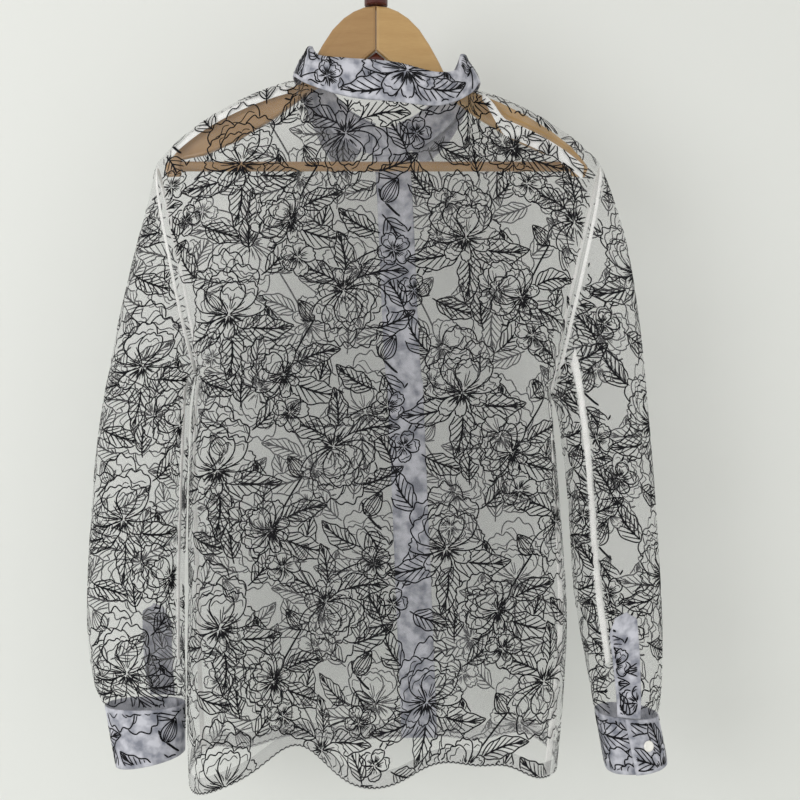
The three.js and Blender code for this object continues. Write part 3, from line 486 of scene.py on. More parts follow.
front_right_sheet = front_sheet(
    lambda up: 0 * up, lambda up: centre_front(up) - FRONT_REACH * band_half(up)
)
front_left_sheet = front_sheet(
    lambda up: centre_front(up) + FRONT_REACH * band_half(up), lambda up: 0 * up + 1
)


def sleeve_sheet(rows, seam):
    """A sleeve from its cuff, t 0, to the armhole, t 1, cut open along its seam."""

    def surface(s, t):
        s, t = both(s, t)
        return sleeve_loop(rows, seam + s, 1 - SLEEVE_REACH * t)

    return surface


def normals(surface, s, t):
    """Unit normals of a surface, pointing out of the cloth's face."""
    step = 0.0006
    wide = surface(s + step, t) - surface(s - step, t)
    high = np.minimum(t + step, 1)
    low = high - 2 * step
    low = np.maximum(low, 0)
    tall = surface(s, high) - surface(s, low)
    return unit(np.cross(wide, tall))


def moved_out(surface, distance):
    def moved(s, t):
        s, t = both(s, t)
        return surface(s, t) + normals(surface, s, t) * distance

    return moved


def strip(surface, s_range, t_range):
    """Part of a surface, between two places across and two places up."""

    def part(s, t):
        s, t = both(s, t)
        return surface(mix(*s_range, s), mix(*t_range, t))

    return part


def band_sheet(distance):
    """The button band down the centre front, a distance off the front's surface."""

    def surface(s, t):
        s, t = both(s, t)
        up = 2 * mix(*BAND_SPAN, t)
        across = centre_front(up) + mix(-1, 1, s) * band_half(up)
        wide = front_surface(across + 0.002, up) - front_surface(across - 0.002, up)
        high = np.minimum(up + 0.002, 2)
        tall = front_surface(across, high) - front_surface(across, high - 0.004)
        return front_surface(across, up) + unit(np.cross(wide, tall)) * distance

    return surface


def cuff_sheet(rows, start, way):
    """A cuff from its wrist edge, t 0, to the sleeve, t 1. Its last part lies under."""

    def loop(s, t):
        turn = start + way * s * (1 + CUFF_OVERLAP)
        row = section(rows, "up", t)
        return loop_point(row, turn, 0.0)

    def surface(s, t):
        s, t = both(s, t)
        s = s if way > 0 else 1 - s
        under = CUFF_UNDERLAP * rise(s, *CUFF_STEP)
        out = normals(loop, s, np.clip(t, 0, 1)) * way
        return loop(s, CUFF_REACH * t) - out * under[..., None]

    return surface


def collar_place(angle, out, z):
    turn = np.radians(angle)
    base = neck_point(turn)
    return points(base[..., 0] + out * np.cos(turn), base[..., 1] + out * np.sin(turn), z)


def stand_sheet(s, t):
    s, t = both(s, t)
    angle = mix(*STAND_SPAN, s)
    row = section(COLLAR, "angle", angle)
    under = STAND_UNDERLAP * rise(s, *STAND_STEP)
    seam_z = neck_point(np.radians(angle))[..., 2] + STAND_GAP
    out = -row["inset"] * np.clip(t, 0, 1) ** 1.3 - under
    return collar_place(angle, out, mix(seam_z, row["fold_z"], t))


def fall_sheet(s, t):
    s, t = both(s, t)
    angle = mix(*FALL_SPAN, s)
    row = section(COLLAR, "angle", angle)
    place = (1 - t) * FALL_ROWS
    roll = section(ROLL, "place", np.clip(place, 0, 3))
    part = np.clip(place - 3, 0, 9) / (FALL_ROWS - 3)
    out = mix(roll["out"] - row["inset"], row["edge_out"], part) + 1.5 * np.sin(math.pi * part)
    z = mix(row["fold_z"] + roll["lift"], row["edge_z"], part)
    return collar_place(mix(angle, row["edge_angle"], part), out, z)


# Embroidery
TILE_WIDTH = 228.0
TILE_HEIGHT = 150.0
THREAD = 1.18
THREAD_TAPER = 0.45


def through(knots, steps=7):
    """A smooth curve through complex knots."""
    k = np.concatenate([[2 * knots[0] - knots[1]], knots, [2 * knots[-1] - knots[-2]]])
    t = np.arange(steps) / steps
    out = []
    for i in range(1, len(k) - 2):
        a, b, c, d = k[i - 1 : i + 3]
        square = (2 * a - 5 * b + 4 * c - d) * t**2
        cube = (3 * b - a - 3 * c + d) * t**3
        out.append(0.5 * (2 * b + (c - a) * t + square + cube))
    return np.concatenate([*out, [k[-2]]])


def turned(line, size, angle, place):
    return line * size * np.exp(1j * math.radians(angle)) + place


class Drawing:
    """Thread lines in the plane, nearer shapes first, each hiding what comes after."""

    def __init__(self):
        self.lines = []
        self.masks = []

    def hidden(self, line):
        out = np.zeros(len(line), bool)
        for mask, centre, radius in self.masks:
            for dx in (-TILE_WIDTH, 0, TILE_WIDTH):
                for dy in (-TILE_HEIGHT, 0, TILE_HEIGHT):
                    moved = line + dx + 1j * dy
                    near = np.abs(moved - centre) < radius
                    if near.any():
                        out[near] |= inside(mask, moved[near])
        return out

    def add(self, line, weight):
        line = even(line, 1.5)
        width = weight * THREAD
        hidden = self.hidden(line)
        start = None
        for i, gone in enumerate([*hidden, True]):
            if not gone and start is None:
                start = i
            if gone and start is not None:
                if i - start > 2:
                    self.lines.append((line[start:i], width))
                start = None

    def stitch(self, line, spot, weight):
        """Adds a line drawn at size 1, put at its spot: a size, an angle and a place."""
        self.add(turned(line, *spot), weight)

    def hide(self, outline):
        centre = outline.mean()
        self.masks.append((outline, centre, np.abs(outline - centre).max()))


def even(line, step):
    """Points at even steps along a line."""
    length = np.concatenate([[0], np.cumsum(np.abs(np.diff(line)))])
    count = max(int(length[-1] / step), 2)
    at = np.linspace(0, length[-1], count + 1)
    return np.interp(at, length, line.real) + 1j * np.interp(at, length, line.imag)


def inside(outline, places):
    x, y = places.real[:, None], places.imag[:, None]
    x0, y0 = outline.real[None], outline.imag[None]
    x1, y1 = np.roll(x0, -1, 1), np.roll(y0, -1, 1)
    crosses = (y0 > y) != (y1 > y)
    with np.errstate(divide="ignore", invalid="ignore"):
        at = x0 + (y - y0) * (x1 - x0) / (y1 - y0)
    return (np.sum(crosses & (x < at), axis=1) % 2) == 1


def petal(draw, place, angle, size, width, rng, hatch=9, ruffle=0.03):
    """A cupped petal with a ruffled lip and a fan of stitches from its base."""
    jitter = lambda: rng.uniform(-0.05, 0.05)
    side = [(0.03, 0.06), (0.26, 0.52), (0.55, 0.92), (0.82, 0.88)]
    knots = [(x + jitter() * x, (y + jitter()) * width) for x, y in side]
    for i, across in enumerate((0.60, 0.30, 0.02, -0.30, -0.60)):
        bow = 1.03 - 0.22 * across**2
        knots.append((bow + ruffle * (-1) ** i * rng.uniform(0.5, 1.6), (across + jitter()) * width))
    knots += [(x + jitter() * x, (jitter() - y) * width) for x, y in reversed(side)]
    spot = (size, angle, place)
    outline = turned(through(np.array([x + 1j * y for x, y in knots])), *spot)
    draw.add(outline, 1.15)
    if rng.uniform() < 0.8:
        lip = [(0.60, 0.84), (0.78, 0.52), (0.74, 0.10), (0.86, -0.30), (0.80, -0.66)]
        fold = np.array([x + jitter() + 1j * y * width for x, y in lip])
        draw.stitch(through(fold), spot, 0.8)
    for i in range(hatch):
        lean = (i - (hatch - 1) / 2) / hatch * 1.7 + 0.4 * jitter()
        reach = rng.uniform(0.30, 0.74) * (1 - 0.3 * abs(lean))
        start = rng.uniform(0.10, 0.24)
        steps = ((start, 0.26), ((start + reach) / 2, 0.56), (reach, 0.80))
        stroke = np.array([x + 1j * lean * width * spread for x, spread in steps])
        draw.stitch(through(stroke, 4), spot, 0.8)
    draw.hide(outline)


def bloom(draw, place, size, angle, rng):
    """A full flower seen from its side: a cup of petals, ruffles above and petals hanging."""
    for turn, reach, width, hatch in [
        (-17, 0.52, 0.42, 6), (22, 0.55, 0.40, 6), (2, 0.70, 0.40, 5), (-44, 0.64, 0.34, 6),
        (47, 0.66, 0.34, 6), (-24, 0.86, 0.32, 4), (26, 0.84, 0.30, 4), (0, 1.0, 0.30, 3),
        (-72, 0.62, 0.26, 6), (76, 0.58, 0.26, 6), (-118, 0.42, 0.30, 9), (128, 0.46, 0.28, 9),
        (176, 0.38, 0.26, 7),
    ]:
        heading = angle + turn + rng.uniform(-5, 5)
        length = size * reach * rng.uniform(0.94, 1.06)
        petal(draw, place, heading, length, width * rng.uniform(0.92, 1.1), rng, hatch)


def leaf(draw, place, angle, size, width, bend, veins=6):
    """A pointed leaf with a bent rib, a waved edge and long side veins."""

    def at(x, y):
        spine = (np.exp(1j * bend * x) - 1) / (1j * bend)
        return spine + 1j * np.exp(1j * bend * x) * y

    x = np.linspace(0, 1, 26)
    half = 1.12 * width * np.sin(math.pi * x**0.8) ** 0.85 * (1 - 0.2 * x)
    wave = 0.020 * np.sin(21 * x + angle) * np.sin(math.pi * x)
    upper, lower = at(x, half + wave), at(x, wave - half)
    spot = (size, angle, place)
    draw.stitch(upper, spot, 1.15)
    draw.stitch(lower, spot, 1.15)
    rib = np.linspace(-0.12, 0.97, 20)
    draw.stitch(at(rib, 0 * rib), spot, 1.25)
    draw.stitch(at(rib[2:14], 0.016 * np.sin(math.pi * rib[2:14])), spot, 0.9)
    for i in range(veins):
        start = 0.04 + 0.74 * i / veins
        run = np.linspace(0, 1, 7)
        for side in (-1, 1):
            end = min(start + 0.27, 0.98)
            reach = 0.93 * np.interp(end, x, half)
            draw.stitch(at(mix(start, end, run), side * reach * run**1.2), spot, 0.9)
            if (i + side) % 2 == 0:
                middle = min(start + 0.20, 0.96)
                reach = 0.62 * np.interp(middle, x, half)
                vein = at(mix(start + 0.03, middle, run), side * reach * run**1.1)
                draw.stitch(vein, spot, 0.8)
    draw.hide(turned(np.concatenate([upper, lower[::-1]]), *spot))


def blossom(draw, place, size, angle, rng):
    """A small open flower of five petals around a dark middle."""
    for i in range(5):
        turn = angle + 72 * i + rng.uniform(-8, 8)
        petal(draw, place, turn, size / 2 * rng.uniform(0.85, 1.1), 0.44, rng, 6, 0.04)


def bud(draw, place, size, angle):
    """A closed bud in its two small leaves."""
    x = np.linspace(0, 1, 16)
    half = 0.32 * np.sin(math.pi * x**0.7) ** 0.9
    body = np.concatenate([x + 1j * half, (x - 1j * half)[::-1]])
    spot = (size, angle, place)
    draw.stitch(body, spot, 1.15)
    run = np.linspace(0.05, 0.9, 9)
    for side in (-1, -0.5, 0.15, 0.6, 1):
        draw.stitch(run + 0.6j * side * np.interp(run, x, half), spot, 0.85)
    draw.hide(turned(body, *spot))
    for turn in (38, -38):
        leaf(draw, place, angle + turn, size * 0.55, 0.16, 0.5, 3)


def stem(draw, *knots):
    line = through(np.array(knots), 9)
    draw.add(line, 1.3)
    draw.add(line + 0.9 + 0.5j, 0.8)


def make_tile():
    """One repeat of the embroidery: own flowers, leaves, buds and stems."""
    rng = np.random.default_rng(23)
    draw = Drawing()
    bloom(draw, 58 + 66j, 60, 96, rng)
    bloom(draw, 168 + 92j, 60, -64, rng)
    bloom(draw, 112 + 8j, 46, 152, rng)
    blossom(draw, 122 + 122j, 34, 10, rng)
    blossom(draw, 216 + 128j, 32, 40, rng)
    blossom(draw, 8 + 14j, 32, 70, rng)
    bud(draw, 140 + 62j, 24, 130)
    bud(draw, 206 + 24j, 26, 60)
    for place, angle, size, width, bend in [
        (66 + 58j, -22, 56, 0.23, 0.7), (52 + 54j, 205, 54, 0.22, -0.5), (60 + 50j, -78, 48, 0.24, -0.5),
        (92 + 108j, 40, 48, 0.21, 0.6), (24 + 104j, 140, 50, 0.22, -0.7), (158 + 102j, 150, 50, 0.22, 0.6),
        (178 + 100j, 25, 54, 0.23, -0.6), (170 + 108j, 88, 42, 0.22, 0.5), (120 + 2j, -30, 54, 0.22, 0.7),
        (126 + 20j, 35, 44, 0.22, -0.5), (98 + 36j, 80, 40, 0.20, 0.6), (196 + 52j, 10, 46, 0.22, 0.5),
        (208 + 8j, -50, 48, 0.22, -0.6), (18 + 32j, 60, 46, 0.22, 0.6), (226 + 74j, 110, 42, 0.2, 0.6),
        (74 + 132j, 100, 44, 0.20, -0.5), (140 + 138j, 60, 44, 0.21, 0.6), (30 + 4j, -30, 44, 0.21, 0.5),
        (198 + 146j, 160, 44, 0.21, -0.5),
    ]:
        leaf(draw, place, angle, size, width, bend)
    stem(draw, 58 + 66j, 70 + 40j, 92 + 22j, 112 + 8j)
    stem(draw, 112 + 8j, 128 + 40j, 140 + 62j)
    stem(draw, 168 + 92j, 176 + 116j, 198 + 128j, 216 + 128j)
    stem(draw, 168 + 92j, 150 + 112j, 122 + 122j, 92 + 132j)
    stem(draw, 58 + 66j, 30 + 54j, 12 + 34j, 8 + 14j)
    stem(draw, 216 + 128j, 232 + 150j, 236 + 164j)
    stem(draw, 206 + 24j, 222 + 10j, 236 + 14j)
    stem(draw, 112 + 8j, 100 - 14j, 96 - 34j)
    return draw.lines


class Flat:
    """The flat layout of a surface, found from the lengths of its rows and columns."""

    def __init__(self, surface):
        self.surface = surface
        s = np.linspace(0, 1, 161)
        t = np.linspace(0, 1, 241)
        grid = surface(s[None, :], t[:, None])
        self.t = t
        self.width = np.linalg.norm(np.diff(grid, axis=1), axis=-1).sum(1)
        rise_of = np.linalg.norm(np.diff(grid, axis=0), axis=-1)
        self.height = np.concatenate([[0], np.cumsum(np.median(rise_of, axis=1))])
        self.tall = self.height[-1]
        wide = grid[1:, 1:] - grid[:-1, :-1]
        tall = grid[1:, :-1] - grid[:-1, 1:]
        self.area = 0.5 * np.linalg.norm(np.cross(wide, tall), axis=-1).sum()

    def uv(self, s, t):
        """Flat millimetres of places on the surface, from the middle of the lower edge."""
        return (s - 0.5) * np.interp(t, self.t, self.width), np.interp(t, self.t, self.height)

    def places(self, flat):
        """Places on the surface of complex flat millimetres."""
        t = np.interp(flat.imag, self.height, self.t)
        return 0.5 + flat.real / np.interp(t, self.t, self.width), t

    def covers(self, flat, margin):
        """Which complex flat millimetres lie on the cloth, a margin inside its edges."""
        half = np.interp(flat.imag, self.height, self.width) / 2 - margin
        return (np.abs(flat.real) < half) & (flat.imag > margin) & (flat.imag < self.height[-1] - margin)

    def cut(self):
        """Width and length, each raised to the least side, and the area, in metres."""
        wide, tall = max(self.width.max(), LEAST_SIDE), max(self.height[-1], LEAST_SIDE)
        return float(wide) * MM, float(tall) * MM, float(self.area) * MM * MM


class Upright(Flat):
    """The layout of a sheet whose rows are slanted: upwards it is the length along the
    cloth above the lowest level, and across it is the length along such a level."""

    STEP = 2.0

    def __init__(self, surface):
        super().__init__(surface)
        s = np.linspace(0, 1, 121)
        grid_t = np.linspace(0, 1, 241)
        grid = surface(s[None, :], grid_t[:, None])
        climb = np.hypot(np.diff(grid[..., 1], axis=0), np.diff(grid[..., 2], axis=0))
        foot = grid[:1, :, 2] - grid[0, :, 2].min()
        up = np.concatenate([foot, foot + np.cumsum(climb, axis=0)])
        self.tall = up.max()
        levels = np.arange(0, self.tall, self.STEP)
        self.reach = self.width.max() / 2
        arcs = np.arange(-self.reach, self.reach + self.STEP, self.STEP)
        outside = {"left": np.nan, "right": np.nan}
        at = np.stack([np.interp(levels, column, grid_t, **outside) for column in up.T], 1)
        there = np.isfinite(at)
        above = levels[:, None] > up[-1]
        ring = surface(np.broadcast_to(s, at.shape), np.where(there, at, above * 1.0))
        step = np.hypot(np.diff(ring[..., 0], axis=1), np.diff(ring[..., 1], axis=1))
        around = np.concatenate([np.zeros((len(levels), 1)), np.cumsum(step, axis=1)], 1)
        around -= around[:, [len(s) // 2]]
        self.s_table = np.full((len(levels), len(arcs)), np.nan)
        self.t_table = self.s_table.copy()
        for row, (arc, on) in enumerate(zip(around, there)):
            self.s_table[row] = np.interp(arcs, arc, s, **outside)
            self.t_table[row] = np.interp(arcs, arc, np.where(on, at[row], np.nan), **outside)

    def looked_up(self, table, flat):
        row = np.clip(flat.imag / self.STEP, 0, table.shape[0] - 1.001)
        column = np.clip((flat.real + self.reach) / self.STEP, 0, table.shape[1] - 1.001)
        r, c = row.astype(int), column.astype(int)
        low = mix(table[r, c], table[r, c + 1], column - c)
        high = mix(table[r + 1, c], table[r + 1, c + 1], column - c)
        return mix(low, high, row - r)

    def places(self, flat):
        return self.looked_up(self.s_table, flat), self.looked_up(self.t_table, flat)

    def covers(self, flat, margin):
        t = self.looked_up(self.t_table, flat)
        before = self.looked_up(self.t_table, flat - margin)
        after = self.looked_up(self.t_table, flat + margin)
        edge = margin / self.height[-1]
        with np.errstate(invalid="ignore"):
            inner = (t > edge) & (t < 1 - edge)
        return inner & np.isfinite(after + before) & (np.abs(flat.real) < self.reach)


# Meshes
RIM_SHARE = 0.4
TAPE_THICKNESS = 0.9


def new_object(name, co, faces, uv=None):
    mesh = bpy.data.meshes.new(name)
    mesh.from_pydata((np.asarray(co) * MM).tolist(), [], faces)
    if uv is not None:
        layer = mesh.uv_layers.new(name="flat")
        loops = np.empty(len(mesh.loops), np.int64)
        mesh.loops.foreach_get("vertex_index", loops)
        layer.data.foreach_set("uv", np.asarray(uv, float)[loops].ravel())
    mesh.validate()
    mesh.polygons.foreach_set("use_smooth", np.ones(len(mesh.polygons), bool))
    obj = bpy.data.objects.new(name, mesh)
    bpy.context.scene.collection.objects.link(obj)
    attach(obj, "root")
    return obj


def grid_faces(wide, tall, first=0, flip=False):
    r, c = np.meshgrid(np.arange(tall), np.arange(wide), indexing="ij")
    a = first + r * (wide + 1) + c
    quads = np.stack([a, a + 1, a + wide + 2, a + wide + 1], -1).reshape(-1, 4)
    return (quads[:, ::-1] if flip else quads).tolist()


def laid_out(surface, wide, tall, layout):
    """A surface's flat layout, a grid of places on it and their flat metres."""
    flat = layout(surface)
    s, t = np.meshgrid(np.linspace(0, 1, wide + 1), np.linspace(0, 1, tall + 1))
    u, v = flat.uv(s, t)
    return flat, s, t, np.stack([u.ravel(), v.ravel()], -1) * MM


def sheet_object(name, surface, wide, tall, layout=Flat):
    """A single layer of cloth, with its flat metres as its UV map."""
    flat, s, t, uv = laid_out(surface, wide, tall, layout)
    return new_object(name, surface(s, t).reshape(-1, 3), grid_faces(wide, tall), uv), flat


def thick_object(name, surface, wide, tall, thickness):
    """A closed wall of cloth whose outer face is the surface, with rounded edges."""
    flat, s, t, uv = laid_out(surface, wide, tall, Flat)
    outer = surface(s, t)
    inner = outer - normals(surface, s, t) * thickness
    count = (wide + 1) * (tall + 1)
    faces = grid_faces(wide, tall) + grid_faces(wide, tall, count, True)
    at = lambda r, c: r * (wide + 1) + c
    ring = [at(0, c) for c in range(wide)] + [at(r, wide) for r in range(tall)]
    ring += [at(tall, c) for c in range(wide, 0, -1)] + [at(r, 0) for r in range(tall, 0, -1)]
    edge = (outer + inner) / 2
    rim = (edge - rim_directions(edge) * thickness * RIM_SHARE).reshape(-1, 3)[ring]
    for k, v0 in enumerate(ring):
        after = (k + 1) % len(ring)
        v1 = ring[after]
        m0, m1 = 2 * count + k, 2 * count + after
        faces.append([v1, v0, m0, m1])
        faces.append([m1, m0, v0 + count, v1 + count])
    co = np.concatenate([outer.reshape(-1, 3), inner.reshape(-1, 3), rim])
    return new_object(name, co, faces, np.concatenate([uv, uv, uv[ring]])), flat


def rim_directions(grid):
    """For each point of a grid, the unit step inwards from the nearest edge."""
    out = np.zeros_like(grid)
    out[0] += grid[1] - grid[0]
    out[-1] += grid[-2] - grid[-1]
    out[:, 0] += grid[:, 1] - grid[:, 0]
    out[:, -1] += grid[:, -2] - grid[:, -1]
    return unit(out)


def ribbons(name, runs, surface, lift):
    """Flat thread ribbons along runs of places on a surface.

    Each run is the places across, the places up and the thread's width.
    """
    if not runs:
        raise RuntimeError(f"{name}: no thread falls on the cloth")
    s = np.concatenate([r[0] for r in runs])
    t = np.concatenate([r[1] for r in runs])
    width = np.concatenate([r[2] for r in runs])
    co = surface(s, t)
    out = normals(surface, s, t)
    ends = np.cumsum([len(r[0]) for r in runs])
    starts = ends - [len(r[0]) for r in runs]
    ahead = np.zeros_like(co)
    ahead[1:-1] = co[2:] - co[:-2]
    ahead[starts] = co[starts + 1] - co[starts]
    ahead[ends - 1] = co[ends - 1] - co[ends - 2]
    centre = co + out * lift
    half = unit(np.cross(out, ahead)) * width[:, None] / 2
    verts = np.stack([centre + half, centre - half], 1).reshape(-1, 3)
    keep = np.ones(len(s), bool)
    keep[ends - 1] = False
    i = np.nonzero(keep)[0]
    faces = np.stack([2 * i, 2 * i + 1, 2 * i + 3, 2 * i + 2], -1)
    return new_object(name, verts, faces.tolist(), np.repeat(np.stack([s, t], -1), 2, 0))


def threads(name, flat, lines, phase, margin=2.5):
    """The repeat of the embroidery over a flat layout, as ribbons on its surface."""
    wide, high = flat.width.max() / 2, flat.tall
    runs = []
    first = int(-(wide + TILE_WIDTH) // TILE_WIDTH) - 1
    for i in range(first, int(wide // TILE_WIDTH) + 2):
        for j in range(-2, int(high // TILE_HEIGHT) + 2):
            # Every other column of repeats stands half a repeat higher
            move = phase + i * TILE_WIDTH + 1j * j * TILE_HEIGHT + (i % 2) * 0.5j * TILE_HEIGHT
            for line, width in lines:
                put = line + move
                if put.real.min() > wide or put.real.max() < -wide:
                    continue
                if put.imag.min() > high or put.imag.max() < 0:
                    continue
                good = flat.covers(put, margin)
                edge = np.flatnonzero(np.diff(np.concatenate([[0], good.astype(int), [0]])))
                for a, b in zip(edge[::2], edge[1::2]):
                    if b - a > 2:
                        s, t = flat.places(put[a:b])
                        taper = np.ones(b - a)
                        taper[[0, -1]] = THREAD_TAPER
                        runs.append((s, t, width * taper))
    return ribbons(name, runs, flat.surface, THREAD_DISTANCE)


# Materials
FULL_TURN = 6.2832
NET_PITCH = 0.0009
NET_THREAD = 0.038
DOUBLE_TONE = 0.9
DOUBLE_HAZE = 0.22
WEAVE_PITCH = 0.0008


def linear(*rgb):
    """Linear colour of 0 to 255 screen values."""
    out = []
    for v in rgb:
        v = v / 255
        out.append(v / 12.92 if v <= 0.04045 else ((v + 0.055) / 1.055) ** 2.4)
    return (*out, 1.0)


class Nodes:
    """Short calls to make and join shader nodes in a tree."""

    def __init__(self, tree):
        self.tree = tree

    def put(self, node, inputs):
        """Gives each named input a value, or joins it to another node's output."""
        for key, value in inputs.items():
            if isinstance(value, bpy.types.NodeSocket):
                self.tree.links.new(value, node.inputs[key])
            else:
                node.inputs[key].default_value = value

    def add(self, kind, inputs=None, **settings):
        node = self.tree.nodes.new(kind)
        for key, value in settings.items():
            setattr(node, key, value)
        self.put(node, inputs or {})
        return node

    def math(self, operation, *values, clamp=False):
        inputs = dict(enumerate(values))
        return self.add("ShaderNodeMath", inputs, operation=operation, use_clamp=clamp).outputs[0]

    def flat(self):
        return self.add("ShaderNodeUVMap", uv_map="flat").outputs[0]

    def place(self):
        return self.add("ShaderNodeTexCoord").outputs["Object"]

    def noise(self, vector, scale, detail, distortion=0.0):
        inputs = {"Vector": vector, "Scale": scale, "Detail": detail, "Distortion": distortion}
        return self.add("ShaderNodeTexNoise", inputs).outputs[0]

    def blend(self, factor, dark, light):
        """Two screen colours mixed, dark at factor 0 and light at 1."""
        inputs = {"Factor": factor, "A": linear(*dark), "B": linear(*light)}
        return self.add("ShaderNodeMix", inputs, data_type="RGBA").outputs["Result"]

    def bump(self, height, strength, distance):
        inputs = {"Height": height, "Strength": strength, "Distance": distance}
        return self.add("ShaderNodeBump", inputs).outputs[0]


def material(name):
    mat = bpy.data.materials.new(name)
    mat.use_nodes = True
    tree = mat.node_tree
    bsdf = next(n for n in tree.nodes if n.type == "BSDF_PRINCIPLED")
    return mat, Nodes(tree), bsdf


def group(name, inputs, outputs):
    """A shader group with its sockets, each a label and a kind."""
    tree = bpy.data.node_groups.new(name, "ShaderNodeTree")
    for way, sockets in (("INPUT", inputs), ("OUTPUT", outputs)):
        for label, kind in sockets.items():
            tree.interface.new_socket(label, in_out=way, socket_type="NodeSocket" + kind)
    n = Nodes(tree)
    return n, n.add("NodeGroupInput").outputs, n.add("NodeGroupOutput")


def net_group():
    """Fine six-sided net from flat coordinates: how much of each place is thread."""
    sizes = {"Pitch": "Float", "Thread": "Float", "Haze": "Float"}
    n, start, end = group("net", {"Flat": "Vector", **sizes}, {"Cover": "Float"})
    parts = n.add("ShaderNodeSeparateXYZ", {0: start["Flat"]}).outputs
    u = n.math("DIVIDE", parts[0], start["Pitch"])
    v = n.math("DIVIDE", parts[1], start["Pitch"])
    lines = []
    for turn in (0, 60, 120):
        a = math.radians(turn)
        along = n.math("ADD", n.math("MULTIPLY", u, math.cos(a)), n.math("MULTIPLY", v, math.sin(a)))
        lines.append(n.math("PINGPONG", along, 0.5))
    least = n.math("MINIMUM", n.math("MINIMUM", lines[0], lines[1]), lines[2])
    thread = n.math("SUBTRACT", 1.0, n.math("DIVIDE", least, start["Thread"]), clamp=True)
    n.put(end, {"Cover": n.math("ADD", thread, start["Haze"], clamp=True)})
    return n.tree


def weave_group():
    """Plain weave from flat coordinates, with soft uneven tone."""
    n, start, end = group(
        "weave", {"Flat": "Vector", "Pitch": "Float"}, {"Height": "Float", "Tone": "Float"}
    )
    parts = n.add("ShaderNodeSeparateXYZ", {0: start["Flat"]}).outputs
    waves = []
    for part in parts[:2]:
        repeats = n.math("DIVIDE", part, start["Pitch"])
        waves.append(n.math("SINE", n.math("MULTIPLY", repeats, FULL_TURN)))
    noise = n.noise(start["Flat"], 75.0, 6.0)
    tone = n.add("ShaderNodeMapRange", {"Value": noise, "From Min": 0.36, "From Max": 0.60})
    n.put(end, {"Height": n.math("MULTIPLY", *waves), "Tone": tone.outputs[0]})
    return n.tree


def make_materials(settings):
    net_tree, weave_tree = net_group(), weave_group()
    out = {}
    tone, haze = settings.net_tone, settings.net_haze
    for name, tone, haze in [
        ("net", tone, haze),
        ("net_double", tone * DOUBLE_TONE, haze + DOUBLE_HAZE),
    ]:
        out[name], n, bsdf = material(name)
        inputs = {"Flat": n.flat(), "Pitch": NET_PITCH, "Thread": NET_THREAD, "Haze": haze}
        net = n.add("ShaderNodeGroup", inputs, node_tree=net_tree)
        n.put(bsdf, {"Base Color": linear(tone, tone, tone + 2), "Alpha": net.outputs["Cover"]})
        n.put(bsdf, {"Roughness": 0.85, "Specular IOR Level": 0.2})
    for name, dark, light, roughness in [
        ("trim_cloth", (122, 125, 137), (196, 197, 206), 0.7),
        ("tape_cloth", (240, 240, 238), (252, 252, 250), 0.8),
    ]:
        out[name], n, bsdf = material(name)
        inputs = {"Flat": n.flat(), "Pitch": WEAVE_PITCH}
        weave = n.add("ShaderNodeGroup", inputs, node_tree=weave_tree).outputs
        n.put(bsdf, {"Base Color": n.blend(weave["Tone"], dark, light), "Roughness": roughness})
        n.put(bsdf, {"Normal": n.bump(weave["Height"], 0.25, 0.0002)})
    for name, scale, detail, dark, light, roughness, specular in [
        ("black_thread", 900.0, 2.0, (10, 10, 12), (30, 30, 34), 0.8, 0.12),
        ("red_lacquer", 240.0, 3.0, (58, 16, 8), (84, 24, 12), 0.35, 0.5),
        ("button_white", 160.0, 3.0, (222, 220, 214), (246, 245, 240), 0.3, 0.5),
    ]:
        out[name], n, bsdf = material(name)
        n.put(bsdf, {"Base Color": n.blend(n.noise(n.place(), scale, detail), dark, light)})
        n.put(bsdf, {"Roughness": roughness, "Specular IOR Level": specular})
    out["steel_wire"], n, bsdf = material("steel_wire")
    roughness = n.math("MULTIPLY_ADD", n.noise(n.place(), 300.0, 2.0), 0.15, 0.18)
    n.put(bsdf, {"Base Color": linear(200, 200, 200), "Metallic": 1.0, "Roughness": roughness})
    # The second wood is a darker copy of the first: painted shade for the hanger's left arm and the
    # trouser bar, not a different wood
    for name, dark, light in [
        ("pale_wood", (164, 126, 74), (194, 160, 106)),
        ("pale_wood_shade", (144, 106, 62), (174, 140, 92)),
    ]:
        out[name], n, bsdf = material(name)
        stretched = n.add("ShaderNodeMapping", {"Vector": n.place(), "Scale": (12.0, 60.0, 90.0)})
        broad = n.noise(stretched.outputs[0], 1.6, 6.0, 0.6)
        fine = n.noise(stretched.outputs[0], 14.0, 3.0)
        grain = n.math("MULTIPLY_ADD", fine, 0.35, n.math("MULTIPLY", broad, 0.75))
        n.put(bsdf, {"Base Color": n.blend(grain, dark, light), "Normal": n.bump(grain, 0.15, 0.0004)})
        n.put(bsdf, {"Roughness": 0.42, "Coat Weight": 0.25})
    return out


def paint(obj, mat):
    obj.data.materials.clear()
    obj.data.materials.append(mat)


# What the pieces share while the scene is built
made = {"materials": {}, "lines": [], "flats": {}, "sheets": {}}


def materials():
    if not made["materials"]:
        made["materials"] = make_materials(bpy.context.scene.shirt_cloth)
    return made["materials"]


def lines():
    if not made["lines"]:
        made["lines"] = make_tile()
    return made["lines"]


def finish_sheet(obj, flat, mat, node, rests_on):
    paint(obj, materials()[mat])
    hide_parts(node)
    wide, tall, area = flat.cut()
    made["flats"][obj.name] = flat
    made["sheets"][obj.name] = (obj, (wide, tall), area, rests_on, [])


def declare_sheets():
    """Works out each sheet's area, a narrow tape's raised to the least share of its cut; nothing keeps the
    result.
    """
    for obj, cut, area, rests_on, riders in made["sheets"].values():
        area = max(min(area, cut[0] * cut[1]), LEAST_AREA_SHARE * cut[0] * cut[1])


def rider(name, obj):
    """A piece of thread that goes with a sheet."""
    made["sheets"][name][4].append(obj)


